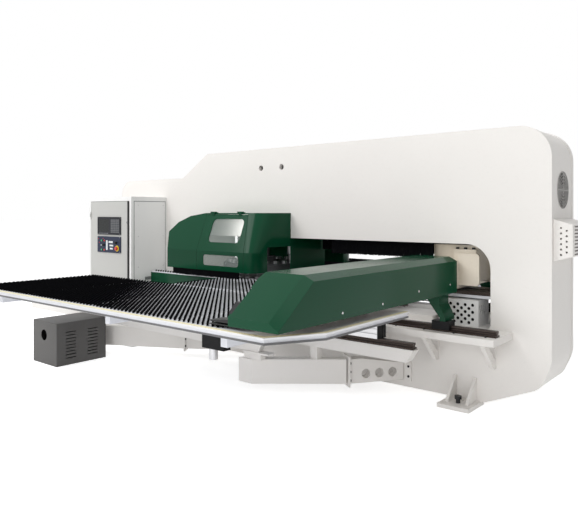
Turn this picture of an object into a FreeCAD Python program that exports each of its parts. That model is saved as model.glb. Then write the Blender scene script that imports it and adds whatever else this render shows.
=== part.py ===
import FreeCAD, Part

import math
import os

import Sketcher

from FreeCAD import Placement, Rotation, Vector

# CNC turret punch press: a bridge frame of two side plates, a tool turret in its throat, and a
# carriage that carries a beam, its clamps and two brush-topped wing tables to and from the turret.
# Frame: +Z up, +X from the turret towards the carriage end, the near side at -Y.  The origin lies
# on the floor at the centre of the four anchor holes.

# ------------------------------------------------------------------ driving sizes, in millimetres
# "left of" sizes run from the frame's right end towards the turret; "reach" sizes run outwards
# from the outer face of a side plate; heights are above the floor.
SIZES = {
    # bridge frame
    "frame_length": 5583.0,
    "frame_depth": 600.0,
    "frame_height": 2300.0,
    "side_plate": 50.0,
    "shoulder_height": 2030.0,
    "slope_start": 3893.0,
    "slope_run": 431.0,
    "crown_radius": 260.0,
    "shoulder_radius": 190.0,
    "heel_run": 530.0,
    "heel_nose": 90.0,
    "heel_nose_height": 220.0,
    "heel_top_height": 420.0,
    "heel_nose_radius": 150.0,
    "heel_top_radius": 300.0,
    "skin": 20.0,
    "skin_inset": 4.0,
    # throat through the frame
    "throat_right": 483.0,
    "throat_left": 4020.0,
    "throat_top": 1342.0,
    "throat_floor": 700.0,
    "sump_left": 1000.0,
    "sump_floor": 640.0,
    "throat_radius": 210.0,
    "throat_small_radius": 40.0,
    # round holes for the lifting bar
    "lifting_radius": 30.0,
    "lifting_drop": 207.0,
    "lifting_left": 2739.0,
    "lifting_gap": 293.0,
    # feet
    "foot_end": 1185.0,
    "foot_inset": 698.0,
    "foot_width": 275.0,
    "foot_reach": 260.0,
    "foot_thickness": 35.0,
    "gusset_height": 190.0,
    "gusset_reach": 170.0,
    "gusset_plate": 25.0,
    "gusset_gap": 175.0,
    "anchor_radius": 13.0,
    "anchor_reach": 60.0,
    "screw_radius": 18.0,
    "screw_reach": 150.0,
    "screw_height": 95.0,
    "screw_head": 32.0,
    "screw_head_height": 26.0,
    # fan and hood on the frame's right end
    "fan_height": 1790.0,
    "fan_radius": 145.0,
    "grille_rings": 6,
    "grille_wire": 6.0,
    "fan_hub": 34.0,
    "fan_blades": 6,
    "fan_depth": 40.0,
    "hood_bottom": 1226.0,
    "hood_top": 1557.0,
    "hood_depth": 141.0,
    "hood_taper": 45.0,
    "hood_width": 520.0,
    "hood_wall": 4.0,
    "hood_slots": 9,
    "hood_hole": 8.0,
    "hood_hole_first": 55.0,
    "hood_hole_pitch": 41.0,
    "hood_hole_low": 54.0,
    "hood_hole_span": 208.0,
    # shelves that carry the carriage rails
    "shelf_right": 299.0,
    "shelf_length": 2150.0,
    "shelf_reach": 416.0,
    "shelf_top": 645.0,
    "shelf_plate": 55.0,
    "bracket_first": 455.0,
    "bracket_pitch": 506.0,
    "bracket_count": 4,
    "bracket_drop": 260.0,
    "bracket_reach": 250.0,
    "bracket_web": 40.0,
    "bracket_bar": 38.0,
    # linear rails
    "rail_height": 50.0,
    "rail_head": 46.0,
    "rail_waist": 30.0,
    "rail_base": 80.0,
    "rail_base_height": 14.0,
    "shelf_rail_right": 314.0,
    "shelf_rail_length": 2080.0,
    "shelf_rail_reach": 290.0,
    # beams on the outriggers that carry the wing tables
    "inner_beam_right": 840.0,
    "inner_beam_length": 3560.0,
    "inner_beam_reach": 550.0,
    "inner_beam_width": 100.0,
    "inner_beam_bottom": 427.0,
    "inner_beam_height": 103.0,
    "beam_end_slant": 65.0,
    "outer_beam_right": 2104.0,
    "outer_beam_length": 4030.0,
    "outer_beam_reach": 925.0,
    "outer_beam_width": 60.0,
    "outer_beam_height": 120.0,
    "beam_post": 75.0,
    # outriggers
    "arm_bottom": 100.0,
    "arm_height": 216.0,
    "arm_width": 100.0,
    "arm_flange": 15.0,
    "arm_flange_overhang": 26.0,
    "beam_seat": 69.0,
    "root_height": 150.0,
    "root_bottom": 105.0,
    "root_web": 22.0,
    "root_plate": 110.0,
    "root_hole": 42.0,
    "right_arm_root": 1312.0,
    "right_arm_knee": 1621.0,
    "right_arm_knee_reach": 432.0,
    "right_arm_tip": 2290.0,
    "left_arm_root": 3160.0,
    "left_arm_knee": 3790.0,
    "left_arm_knee_reach": 420.0,
    "left_arm_tip": 4860.0,
    "arm_tip_reach": 980.0,
    "bolt_radius": 11.0,
    "bolt_head": 9.0,
    "knuckle": 7.0,
    "knuckle_length": 40.0,
    "knuckle_end": 24.0,
    "hinge_margin": 90.0,
    "hinge_pin": 3.5,
    "hinge_lug": 20.0,
    # tables
    "table_top": 895.0,
    "table_depth": 45.0,
    "table_skin": 6.0,
    "table_rim": 30.0,
    "brush_height": 15.0,
    "brush_width": 16.0,
    "brush_pitch": 32.0,
    "brush_margin": 45.0,
    "centre_right": 1500.0,
    "centre_left": 3340.0,
    "centre_notch": 2740.0,
    "centre_notch_reach": 190.0,
    "centre_reach": 985.0,
    "blade_slot": 80.0,
    "curtain_right": 1018.0,
    "curtain_left": 2598.0,
    "curtain_bottom": 1200.0,
    "curtain_thickness": 10.0,
    "cross_first": 120.0,
    "cross_pitch": 170.0,
    "cross_reach": 500.0,
    "side_table_gap": 20.0,
    "side_table_width": 60.0,
    "apron_bottom": 560.0,
    "apron_plate": 6.0,
    "skirt_plate": 12.0,
    "wing_right": 700.0,
    "wing_left": 4680.0,
    "wing_inner": 1000.0,
    "wing_outer": 2340.0,
    "wing_chamfer_run": 185.0,
    "wing_chamfer_reach": 345.0,
    "wing_bare": 330.0,
    "bare_slant": 260.0,
    "bare_gap": 25.0,
    "bar_height": 90.0,
    "bar_width": 60.0,
    "bar_gap": 15.0,
    "bar_inset": 160.0,
    "rib_inset": 260.0,
    "rib_inner": 60.0,
    # runners and blocks under the wing tables
    "runner_right": 1150.0,
    "runner_length": 442.0,
    "runner_width": 48.0,
    "runner_pitch": 62.0,
    "runner_cap": 14.0,
    "groove": 9.0,
    "roller_block_left": 2798.0,
    "roller_block_length": 287.0,
    "roller_drop": 149.0,
    "roller_radius": 41.0,
    "roller_length": 102.0,
    "roller_inset": 110.0,
    "hook_rise": 90.0,
    "hook_width": 88.0,
    "left_block": 4340.0,
    "left_block_length": 160.0,
    # carriage beam
    "travel": 1250.0,
    "beam_right": 800.0,
    "beam_width": 260.0,
    "beam_bottom": 950.0,
    "beam_height": 240.0,
    "beam_wall": 12.0,
    "beam_reach": 2350.0,
    "beam_nose": 75.0,
    "beam_slope": 210.0,
    "cover_right": 717.0,
    "cover_width": 387.0,
    "cover_bottom": 945.0,
    "cover_top": 1240.0,
    "cover_reach": 2410.0,
    "cover_inner": 128.0,
    "cover_nose": 1000.0,
    "cover_slope": 310.0,
    "cover_bevel": 70.0,
    "cover_bevel_drop": 35.0,
    "cover_wall": 5.0,
    "cover_lip": 90.0,
    "saddle_right": 613.0,
    "saddle_bottom": 981.0,
    "saddle_top": 1257.0,
    "saddle_plate": 30.0,
    "saddle_inset": 80.0,
    "saddle_chamfer": 20.0,
    "saddle_setback": 50.0,
    "flange_left": 848.0,
    "flange_right": 648.0,
    "flange_top": 1290.0,
    "head_left": 1058.0,
    "head_top": 1325.0,
    "head_half": 150.0,
    "leg_reach": 174.0,
    "leg_depth": 176.0,
    "leg_top_left": 916.0,
    "leg_top_right": 771.0,
    "leg_foot_left": 765.0,
    "leg_foot_right": 718.0,
    "leg_foot_rise": 24.0,
    "leg_knee": 862.0,
    "leg_gap": 15.0,
    "block_left": 838.0,
    "block_length": 150.0,
    "block_height": 70.0,
    "block_width": 110.0,
    "block_lap": 34.0,
    # clamp carriage
    "clamp_rail": 12.0,
    "clamp_rail_height": 20.0,
    "clamp_rail_low": 978.0,
    "clamp_rail_high": 1035.0,
    "clamp_rail_reach": 2300.0,
    "carriage_plate": 22.0,
    "carriage_length": 2700.0,
    "carriage_bottom": 960.0,
    "carriage_height": 110.0,
    "carriage_outer": 2300.0,
    "shoe_length": 100.0,
    "clamp_inset": 70.0,
    "clamp_width": 120.0,
    "clamp_depth": 120.0,
    "clamp_height": 150.0,
    "jaw_length": 190.0,
    "jaw_plate": 8.0,
    "jaw_gap": 8.0,
    "jaw_width": 110.0,
    "jaw_pin": 9.0,
    # carriage screw under the throat table
    "screw_axis": 765.0,
    "ball_screw_radius": 20.0,
    "ball_screw_right": 640.0,
    "ball_screw_length": 1900.0,
    "nut_radius": 45.0,
    "nut_length": 110.0,
    "blade": 30.0,
    "bearing_block": 110.0,
    "motor_radius": 55.0,
    "motor_length": 240.0,
    "guard_right": 606.0,
    "guard_length": 360.0,
    "guard_top": 863.0,
    "guard_plate": 4.0,
    "guard_depth": 225.0,
    "guard_hole": 13.5,
    "guard_pitch": 66.0,
    "guard_rise": 60.0,
    "guard_margin": 52.0,
    "guard_drop": 42.0,
    "guard_slots": 4,
    "guard_slot_width": 12.0,
    "guard_slot_height": 80.0,
    "guard_slot_lean": 30.0,
    "guard_slot_pitch": 40.0,
    "way_left": 978.0,
    "way_inner": 30.0,
    "way_outer": 190.0,
    "way_bottom": 875.0,
    "way_slab": 25.0,
    "way_rail": 30.0,
    "way_foot": 40.0,
    # turret
    "turret_centre": 3250.0,
    "turret_radius": 470.0,
    "turret_plate": 95.0,
    "station_circle": 400.0,
    "stations": 24,
    "upper_disc": 955.0,
    "lower_disc": 800.0,
    "shaft_radius": 60.0,
    "hub_radius": 130.0,
    "hub_height": 60.0,
    "bearing_radius": 150.0,
    "bearing_height": 36.0,
    "punch_radius": 24.0,
    "punch_head": 30.0,
    "punch_head_height": 30.0,
    "punch_tip": 9.0,
    "sheet_level": 919.0,
    "punch_lift": 12.0,
    "die_radius": 30.0,
    "striker_radius": 45.0,
    "striker_foot": 34.0,
    "striker_foot_height": 30.0,
    "striker_length": 420.0,
    "cylinder_radius": 120.0,
    "cylinder_height": 520.0,
    "fit": 0.05,
    "seat": 0.3,
    # turret cover
    "hood_cover_right": 2611.0,
    "hood_cover_left": 3978.0,
    "hood_cover_reach": 570.0,
    "hood_cover_bottom": 1008.0,
    "hood_cover_top": 1604.0,
    "hood_cover_crease": 1209.0,
    "hood_cover_lean": 155.0,
    "corner_run": 101.0,
    "corner_reach": 180.0,
    "corner_top_run": 216.0,
    "corner_top_reach": 295.0,
    "tunnel_top": 1257.0,
    "tunnel_margin": 20.0,
    "hood_cover_shoulder": 165.0,
    "hood_cover_shoulder_run": 520.0,
    "hood_cover_wall": 5.0,
    "seam_left": 3440.0,
    "seam_gap": 3.0,
    "door_right": 2750.0,
    "door_top_right": 2822.0,
    "window_low": 1300.0,
    "window_height": 241.0,
    "window_left": 3305.0,
    "window_width": 453.0,
    "window_radius": 50.0,
    "slot_low": 1060.0,
    "slot_height": 110.0,
    "slot_left": 3336.0,
    "slot_width": 512.0,
    "slot_radius": 28.0,
    "pane": 4.0,
    "pane_lap": 14.0,
    # control cabinet
    "cabinet_inset": 943.0,
    "cabinet_width": 893.0,
    "cabinet_depth": 530.0,
    "cabinet_height": 1800.0,
    "cabinet_wall": 4.0,
    "cabinet_border": 42.0,
    "door_bottom": 520.0,
    "door_head": 55.0,
    "door_plate": 22.0,
    "door_gap": 4.0,
    "vent_bottom": 760.0,
    "vent_height": 70.0,
    "vent_slats": 5,
    "vent_setback": 130.0,
    "vent_length": 200.0,
    "vent_slat": 8.0,
    "panel_width": 490.0,
    "screen_bottom": 1335.0,
    "screen_height": 220.0,
    "screen_margin": 20.0,
    "glass_width": 225.0,
    "keys_left": 280.0,
    "panel_bottom": 1115.0,
    "panel_height": 198.0,
    "panel_plate": 10.0,
    "screen_recess": 3.0,
    "button_radius": 11.0,
    "button_height": 12.0,
    "stop_radius": 24.0,
    "stop_stem": 12.0,
    "stop_height": 26.0,
    "knob_radius": 16.0,
    "knob_height": 22.0,
    "lock_radius": 14.0,
    "lock_rise": 970.0,
    "lock_height": 9.0,
    # separate power unit on the floor
    "unit_right": 4456.0,
    "unit_width": 477.0,
    "unit_depth": 588.0,
    "unit_height": 450.0,
    "unit_wall": 5.0,
    "unit_fan": 58.0,
    "unit_fan_left": 4711.0,
    "unit_fan_height": 305.0,
    "unit_fan_setback": 70.0,
    "louvre_rows": 9,
    "louvre_length": 120.0,
    "louvre_pitch": 34.0,
    # valve block under the beam
    "valve_radius": 15.0,
    "valve_length": 250.0,
    "valve_reach": 940.0,
    "pipe_radius": 6.0,
}

DOC = FreeCAD.newDocument("turret_punch_press")
SHEET = DOC.addObject("Spreadsheet::Sheet", "Sizes")
for row, (alias, size) in enumerate(SIZES.items(), start=1):
    SHEET.set("A%d" % row, alias)
    SHEET.set("B%d" % row, str(size))
    SHEET.setAlias("B%d" % row, alias)
DOC.recompute()


# ------------------------------------------------------------------ sizes that keep their formula
class Dim(float):
    """A length that keeps the formula it was worked out by, so that it can drive a property."""

    def __new__(cls, value, formula):
        dim = super().__new__(cls, value)
        dim.formula = formula
        return dim

    def __add__(self, other):
        return combine(self, "+", other, float(self) + float(other))

    def __radd__(self, other):
        return combine(other, "+", self, float(other) + float(self))

    def __sub__(self, other):
        return combine(self, "-", other, float(self) - float(other))

    def __rsub__(self, other):
        return combine(other, "-", self, float(other) - float(self))

    def __mul__(self, other):
        return combine(self, "*", other, float(self) * float(other))

    def __rmul__(self, other):
        return combine(other, "*", self, float(other) * float(self))

    def __truediv__(self, other):
        return combine(self, "/", other, float(self) / float(other))

    def __neg__(self):
        return combine(0.0, "-", self, -float(self))


def formula_of(value):
    """The text that stands for a value in a formula."""
    if isinstance(value, Dim):
        return value.formula
    return "(%.9f)" % float(value)


def combine(first, sign, second, value):
    """The Dim of two values joined by an operator."""
    return Dim(value, "(%s %s %s)" % (formula_of(first), sign, formula_of(second)))


class SheetSizes:
    """The sheet's cells, read by alias."""

    def __getattr__(self, alias):
        return Dim(float(SHEET.get(alias)), "Sizes." + alias)


s = SheetSizes()
MOST_STATIONS = int(s.stations)

FOOT_SPACING = s.frame_length - s.foot_inset - s.foot_end
RIGHT_END = FOOT_SPACING / 2 + s.foot_inset
HALF = s.frame_depth / 2
OUTER_BEAM_BOTTOM = s.arm_bottom + s.arm_height + s.beam_seat


def left_by(distance):
    """X of a point this far left of the frame's right end."""
    return RIGHT_END - distance


def out(reach):
    """Y of a point this far outside the near side plate."""
    return -(HALF + reach)


# ------------------------------------------------------------------ building blocks
PARTS = []
AXIS_TURN = {
    "x": Rotation(Vector(0, 1, 0), 90),
    "y": Rotation(Vector(1, 0, 0), -90),
    "z": Rotation(),
}


def bind(item, prop, value):
    """Set a property, and tie it to the sheet where the value has a formula."""
    setattr(item, prop, float(value))
    if isinstance(value, Dim):
        item.setExpression(prop, value.formula)


def place(item, x, y, z, turn=None):
    """Put an object's origin at a point."""
    item.Placement = Placement(Vector(float(x), float(y), float(z)), turn or Rotation())
    for axis, value in zip("xyz", (x, y, z)):
        if isinstance(value, Dim):
            item.setExpression("Placement.Base." + axis, value.formula)
    return item


def box(low, high):
    """A block between its lowest and highest corner."""
    item = DOC.addObject("Part::Box", "Block")
    for prop, start, end in zip(("Length", "Width", "Height"), low, high):
        bind(item, prop, end - start)
    return place(item, *low)


def cylinder(base, radius, length, axis="z"):
    """A cylinder that starts at a point and runs along an axis."""
    item = DOC.addObject("Part::Cylinder", "Round")
    bind(item, "Radius", radius)
    bind(item, "Height", length)
    return place(item, *base, AXIS_TURN[axis])


def cone(base, radius, end_radius, length, axis="z"):
    """A tapered round that starts at a point and runs along an axis."""
    item = DOC.addObject("Part::Cone", "Taper")
    bind(item, "Radius1", radius)
    bind(item, "Radius2", end_radius)
    bind(item, "Height", length)
    return place(item, *base, AXIS_TURN[axis])


def cut(base, *tools):
    """The base less its tools."""
    item = DOC.addObject("Part::Cut", "Cut")
    item.Base = base
    item.Tool = tools[0] if len(tools) == 1 else join(*tools)
    return item


def join(*pieces):
    """Several overlapping pieces made one."""
    item = DOC.addObject("Part::MultiFuse", "Joined")
    item.Shapes = list(pieces)
    return item


def common(*pieces):
    """What several pieces share."""
    item = DOC.addObject("Part::MultiCommon", "Shared")
    item.Shapes = list(pieces)
    return item


def group(*pieces):
    """Separate solids that share one node."""
    item = DOC.addObject("Part::Compound", "Group")
    item.Links = list(pieces)
    return item


def mirrored(piece):
    """The same piece on the far side of the frame."""
    item = DOC.addObject("Part::Mirroring", "Mirrored")
    item.Source = piece
    item.Normal = Vector(0, 1, 0)
    item.Base = Vector(0, 0, 0)
    return item


def both_sides(piece):
    """A near piece and its mirror image, as one node."""
    return group(piece, mirrored(piece))


def part(label, item):
    """Name a finished sub-part."""
    item.Label = label
    PARTS.append(item)
    return item


def hinge(axis, spot, start, length, leaf_lug, frame_lug):
    """A pinned hinge: the moving barrel with its lug, and the pin with its two fixed end barrels.

    The spot is the axis line's place, and each lug is a function of its start and length.
    """
    def rod(first, radius, run):
        base = [first if name == axis else place_at for name, place_at in zip("xyz", spot)]
        return cylinder(base, radius, run, axis)

    end = s.knuckle_end
    bore = rod(start - 1.0, s.hinge_pin + s.fit, length + 2.0)
    moving = cut(join(rod(start, s.knuckle, length), leaf_lug(start, length)), bore)
    fixed = [rod(start - end, s.hinge_pin, length + 2 * end)]
    for first in (start - end, start + length + s.seat):
        fixed.append(rod(first, s.knuckle, end - s.seat))
        fixed.append(frame_lug(first, end - s.seat))
    return moving, join(*fixed)


def plane_of(body, role):
    """The origin plane of a body that has this role."""
    return next(item for item in body.Origin.OriginFeatures if item.Role == role)


def sketch_of(body, role, points):
    """A closed outline on an origin plane, each corner tied to its two coordinates."""
    sketch = body.newObject("Sketcher::SketchObject", "Outline")
    sketch.AttachmentSupport = [(plane_of(body, role), "")]
    sketch.MapMode = "FlatFace"
    corners = [Vector(float(point[0]), float(point[1]), 0) for point in points]
    count = len(corners)
    for index in range(count):
        sketch.addGeometry(Part.LineSegment(corners[index], corners[(index + 1) % count]))
    for index in range(count):
        tie(sketch, "Coincident", index, 2, (index + 1) % count, 1)
    for index, point in enumerate(points):
        for kind, value in (("DistanceX", point[0]), ("DistanceY", point[1])):
            number = tie(sketch, kind, index, 1, float(value))
            if isinstance(value, Dim):
                sketch.setExpression("Constraints[%d]" % number, value.formula)
    return sketch


def tie(sketch, kind, *where):
    """Add one constraint to a sketch."""
    return sketch.addConstraint(Sketcher.Constraint(kind, *where))


PLANES = {"x": "YZ_Plane", "y": "XZ_Plane", "z": "XY_Plane"}


def prism(axis, points, start, length):
    """An outline pushed along an axis from a start.

    Points are (y, z) for axis x, (x, z) for axis y and (x, y) for axis z.  A third value in a
    point is the radius of its corner.
    """
    body = DOC.addObject("PartDesign::Body", "Body")
    sketch = sketch_of(body, PLANES[axis], points)
    pad = body.newObject("PartDesign::Pad", "Pad")
    pad.Profile = sketch
    pad.Reversed = axis == "y"
    bind(pad, "Length", length)
    body.Tip = pad
    place(body, *[start if name == axis else 0.0 for name in "xyz"])
    radii = []
    for point in points:
        if len(point) > 2 and point[2] not in radii:
            radii.append(point[2])
    for radius in radii:
        spots = [point for point in points if len(point) > 2 and point[2] == radius]
        round_corners(body, axis, spots, radius)
    return body


def round_corners(body, axis, spots, radius):
    """Round the corners of a prism that run along its axis at the given spots."""
    DOC.recompute()
    base = body.Tip
    first, second = [name for name in "xyz" if name != axis]
    names = []
    for number, edge in enumerate(base.Shape.Edges, start=1):
        ends = [vertex.Point for vertex in edge.Vertexes]
        if len(ends) != 2:
            continue
        run = ends[1] - ends[0]
        if abs(getattr(run, axis)) < run.Length - 1e-6:
            continue
        for spot in spots:
            near = math.hypot(getattr(ends[0], first) - spot[0], getattr(ends[0], second) - spot[1])
            if near < 1e-4:
                names.append("Edge%d" % number)
    fillet = body.newObject("PartDesign::Fillet", "Fillet")
    fillet.Base = (base, names)
    bind(fillet, "Radius", radius)
    body.Tip = fillet


def revolve(points, x, y, z=0.0, axis="z"):
    """A full turn of an outline of (radius, height) points about an axis through a point."""
    body = DOC.addObject("PartDesign::Body", "Turned")
    sketch = sketch_of(body, "XZ_Plane", points)
    turn = body.newObject("PartDesign::Revolution", "Turn")
    turn.Profile = sketch
    turn.ReferenceAxis = (sketch, ["V_Axis"])
    turn.Angle = 360.0
    body.Tip = turn
    return place(body, x, y, z, AXIS_TURN[axis])


def copies(item, placements):
    """Copies of a solid, moved by each placement, as one node."""
    DOC.recompute()
    feature = DOC.addObject("Part::Feature", "Copies")
    shapes = []
    for move in placements:
        shape = item.Shape.copy()
        shape.Placement = move.multiply(shape.Placement)
        shapes.append(shape)
    feature.Shape = Part.makeCompound(shapes)
    return feature


def shift(x=0.0, y=0.0, z=0.0):
    """A plain move."""
    return Placement(Vector(float(x), float(y), float(z)), Rotation())


def spin(angle, x, y):
    """A turn in degrees about the vertical through a point."""
    return Placement(Vector(), Rotation(Vector(0, 0, 1), angle), Vector(float(x), float(y), 0))


# ------------------------------------------------------------------ bridge frame
def frame_outline(inset):
    """The side plate's outline, drawn in by an inset, as (x, z, radius) corners."""
    right = left_by(inset)
    left = left_by(s.frame_length - inset)
    bottom = s.foot_thickness + inset
    return [
        (right, s.heel_top_height, s.heel_top_radius),
        (right, s.frame_height - inset, s.crown_radius),
        (left_by(s.slope_start), s.frame_height - inset),
        (left_by(s.slope_start + s.slope_run), s.shoulder_height - inset),
        (left, s.shoulder_height - inset, s.shoulder_radius),
        (left, s.heel_top_height, s.heel_top_radius),
        (left_by(s.frame_length - s.heel_nose), s.heel_nose_height, s.heel_nose_radius),
        (left_by(s.frame_length - s.heel_run), bottom),
        (left_by(s.heel_run), bottom),
        (left_by(s.heel_nose), s.heel_nose_height, s.heel_nose_radius),
    ]


def throat_outline(outset):
    """The throat's outline, drawn out by an outset, as (x, z, radius) corners."""
    right = left_by(s.throat_right - outset)
    left = left_by(s.throat_left + outset)
    step = left_by(s.sump_left + outset)
    return [
        (right, s.sump_floor - outset, s.throat_small_radius),
        (right, s.throat_top + outset, s.throat_radius),
        (left, s.throat_top + outset, s.throat_small_radius),
        (left, s.throat_floor - outset, s.throat_small_radius),
        (step, s.throat_floor - outset),
        (step, s.sump_floor - outset),
    ]


def side_plate():
    """The near side plate, with its throat and lifting holes."""
    plate = prism("y", frame_outline(0.0), -HALF, s.side_plate)
    throat = prism("y", throat_outline(0.0), -HALF - 1.0, s.side_plate + 2.0)
    holes = []
    for place_left in (s.lifting_left, s.lifting_left + s.lifting_gap):
        spot = (left_by(place_left), -HALF - 1.0, s.frame_height - s.lifting_drop)
        holes.append(cylinder(spot, s.lifting_radius, s.side_plate + 2.0, "y"))
    return cut(plate, throat, *holes)


def frame_parts():
    """The welded box of the bridge: two side plates, the outer wrapper and the throat liner."""
    near = part("near_side_plate", side_plate())
    part("far_side_plate", mirrored(near))
    inner_face = -HALF + s.side_plate
    width = s.frame_depth - 2 * s.side_plate
    shell = prism("y", frame_outline(s.skin_inset), inner_face, width)
    hollow = prism("y", frame_outline(s.skin_inset + s.skin), inner_face - 1.0, width + 2.0)
    fan_hole = cylinder((left_by(60.0), 0.0, s.fan_height), s.fan_radius, 80.0, "x")
    part("outer_wrapper", cut(shell, hollow, fan_hole))
    lining = prism("y", throat_outline(s.skin), inner_face, width)
    space = prism("y", throat_outline(0.0), inner_face - 1.0, width + 2.0)
    strike = (left_by(s.turret_centre - s.station_circle), 0.0, s.throat_top - 1.0)
    rod_hole = cylinder(strike, s.striker_radius + 8.0, s.skin + 2.0)
    part("throat_liner", cut(lining, space, rod_hole))


def feet():
    """Foot plates with two gussets each, and a levelling screw in each."""
    half_width = s.foot_width / 2
    centre = FOOT_SPACING / 2
    plate = box((centre - half_width, out(s.foot_reach), 0.0),
                (centre + half_width, out(-s.side_plate), s.foot_thickness))
    wall = [
        (out(0.0), s.foot_thickness - 1.0),
        (out(0.0), s.foot_thickness + s.gusset_height),
        (out(18.0), s.foot_thickness + s.gusset_height),
        (out(s.gusset_reach), s.foot_thickness + 20.0),
        (out(s.gusset_reach), s.foot_thickness - 1.0),
    ]
    gussets = []
    for side in (-1, 1):
        start = centre + side * s.gusset_gap / 2 - s.gusset_plate / 2
        gussets.append(prism("x", wall, start, s.gusset_plate))
    bolt_hole = cylinder((centre, out(s.anchor_reach), -1.0), s.anchor_radius, s.foot_thickness + 2.0)
    screw_hole = cylinder((centre, out(s.screw_reach), -1.0), s.screw_radius + s.fit,
                          s.foot_thickness + 2.0)
    foot = cut(join(plate, *gussets), bolt_hole, screw_hole)
    stem = cylinder((centre, out(s.screw_reach), 0.0), s.screw_radius, s.screw_height)
    head_base = s.screw_height - s.screw_head_height
    corners = []
    for number in range(6):
        angle = math.radians(60 * number)
        corners.append((s.screw_head * math.cos(angle) + centre,
                        s.screw_head * math.sin(angle) + out(s.screw_reach)))
    head = prism("z", corners, head_base, s.screw_head_height)
    screw = join(stem, head)
    turns = [Placement(), shift(x=-FOOT_SPACING)]
    near_feet = copies(foot, turns)
    near_screws = copies(screw, turns)
    part("foot_plates", both_sides(near_feet))
    part("levelling_screws", both_sides(near_screws))


def end_fan():
    """The round guard on the frame's right end, and the fan behind it."""
    face = left_by(s.skin_inset)
    rings = []
    step = (s.fan_radius + 6.0) / s.grille_rings
    wire = s.grille_wire
    for number in range(1, int(s.grille_rings) + 1):
        radius = step * number
        outer = cylinder((face, 0.0, s.fan_height), radius, wire, "x")
        inner = cylinder((face - 1.0, 0.0, s.fan_height), radius - wire, wire + 2.0, "x")
        rings.append(cut(outer, inner))
    reach = s.fan_radius + 3.0
    upright = box((face, -wire / 2, s.fan_height - reach), (face + wire, wire / 2, s.fan_height + reach))
    level = box((face, -reach, s.fan_height - wire / 2), (face + wire, reach, s.fan_height + wire / 2))
    hub_seat = cylinder((face - s.fan_depth, 0.0, s.fan_height), s.fan_hub / 2, s.fan_depth, "x")
    part("fan_grille", join(upright, level, hub_seat, *rings))
    rotor_end = face - s.fan_depth / 2 - s.seat
    part("frame_fan", rotor("x", rotor_end - s.fan_depth, s.fan_depth, s.fan_radius - 6.0,
                            (0.0, s.fan_height), s.fan_hub / 2))


def rotor(axis, start, depth, radius, centre, bore):
    """A fan rotor: a hub with a blind bore on its seat, and pitched blades."""
    blades = int(s.fan_blades)
    hub = Part.makeCylinder(float(s.fan_hub), float(depth), Vector(0, 0, 0))
    seat = Part.makeCylinder(float(bore + s.fit), float(depth) / 2, Vector(0, 0, float(depth) / 2))
    shape = hub
    span = float(radius) - float(s.fan_hub) + 6.0
    for number in range(blades):
        blade = Part.makeBox(span, 3.0, float(depth) * 0.9)
        blade.translate(Vector(float(s.fan_hub) - 6.0, -1.5, -float(depth) * 0.45))
        blade.rotate(Vector(), Vector(1, 0, 0), 40)
        blade.translate(Vector(0, 0, float(depth) / 2))
        blade.rotate(Vector(), Vector(0, 0, 1), 360.0 * number / blades)
        shape = shape.fuse(blade)
    shape = shape.cut(seat).removeSplitter()
    feature = DOC.addObject("Part::Feature", "Rotor")
    feature.Shape = shape
    if axis == "x":
        spot = Vector(float(start), float(centre[0]), float(centre[1]))
    else:
        spot = Vector(float(centre[0]), float(start), float(centre[1]))
    feature.Placement = Placement(spot, AXIS_TURN[axis])
    return feature


def end_hood():
    """The tapered hood over the lower vents, standing on the side plates' right edges."""
    face = left_by(0.0)

    def shell(inset, back):
        tip = face + s.hood_depth - inset
        outline = [
            (face - back, s.hood_bottom + inset),
            (face, s.hood_bottom + inset),
            (tip, s.hood_bottom + s.hood_taper + inset),
            (tip, s.hood_top - s.hood_taper - inset),
            (face, s.hood_top - inset),
            (face - back, s.hood_top - inset),
        ]
        if back == 0.0:
            outline = outline[1:5]
        return prism("y", outline, -s.hood_width / 2 + inset, s.hood_width - 2 * inset)

    slots = []
    span = s.hood_top - s.hood_bottom - 2 * s.hood_taper
    for number in range(int(s.hood_slots)):
        height = s.hood_bottom + s.hood_taper + span * (number + 0.5) / s.hood_slots
        slots.append(box((face + s.hood_depth - 20.0, -s.hood_width * 0.4, height - 5.0),
                         (face + s.hood_depth + 10.0, s.hood_width * 0.4, height + 5.0)))
    holes = []
    for column, count in enumerate((6, 5)):
        hole_x = face + s.hood_hole_first + s.hood_hole_pitch * column
        step = s.hood_hole_span / 5
        first = s.hood_bottom + s.hood_hole_low + step * column / 2
        for number in range(count):
            spot = (hole_x, -s.hood_width / 2 - 1.0, first + step * number)
            holes.append(cylinder(spot, s.hood_hole, s.hood_wall + 2.0, "y"))
    part("end_hood", cut(shell(0.0, 0.0), shell(s.hood_wall, 5.0), *slots, *holes))


# ------------------------------------------------------------------ shelves, rails and outriggers
def shelves():
    """The bolted shelf beside each plate, on open triangular brackets."""
    top = s.shelf_top
    under = top - s.shelf_plate
    plate = box((left_by(s.shelf_right + s.shelf_length), out(s.shelf_reach), under),
                (left_by(s.shelf_right), out(0.0), top))
    bar = s.bracket_bar
    outer = [
        (out(0.0), under + 1.0),
        (out(s.bracket_reach), under + 1.0),
        (out(s.bracket_reach), under - bar),
        (out(bar), under - s.bracket_drop),
        (out(0.0), under - s.bracket_drop),
    ]
    window = [
        (out(bar * 0.6), under - bar),
        (out(s.bracket_reach - bar * 1.8), under - bar),
        (out(bar * 0.6), under - s.bracket_drop + bar * 1.9),
    ]
    brackets = []
    for number in range(int(s.bracket_count)):
        start = left_by(s.bracket_first + s.bracket_pitch * number) - s.bracket_web / 2
        web = prism("x", outer, start, s.bracket_web)
        hole = prism("x", window, start - 1.0, s.bracket_web + 2.0)
        brackets.append(cut(web, hole))
    part("shelves", both_sides(join(plate, *brackets)))


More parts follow.
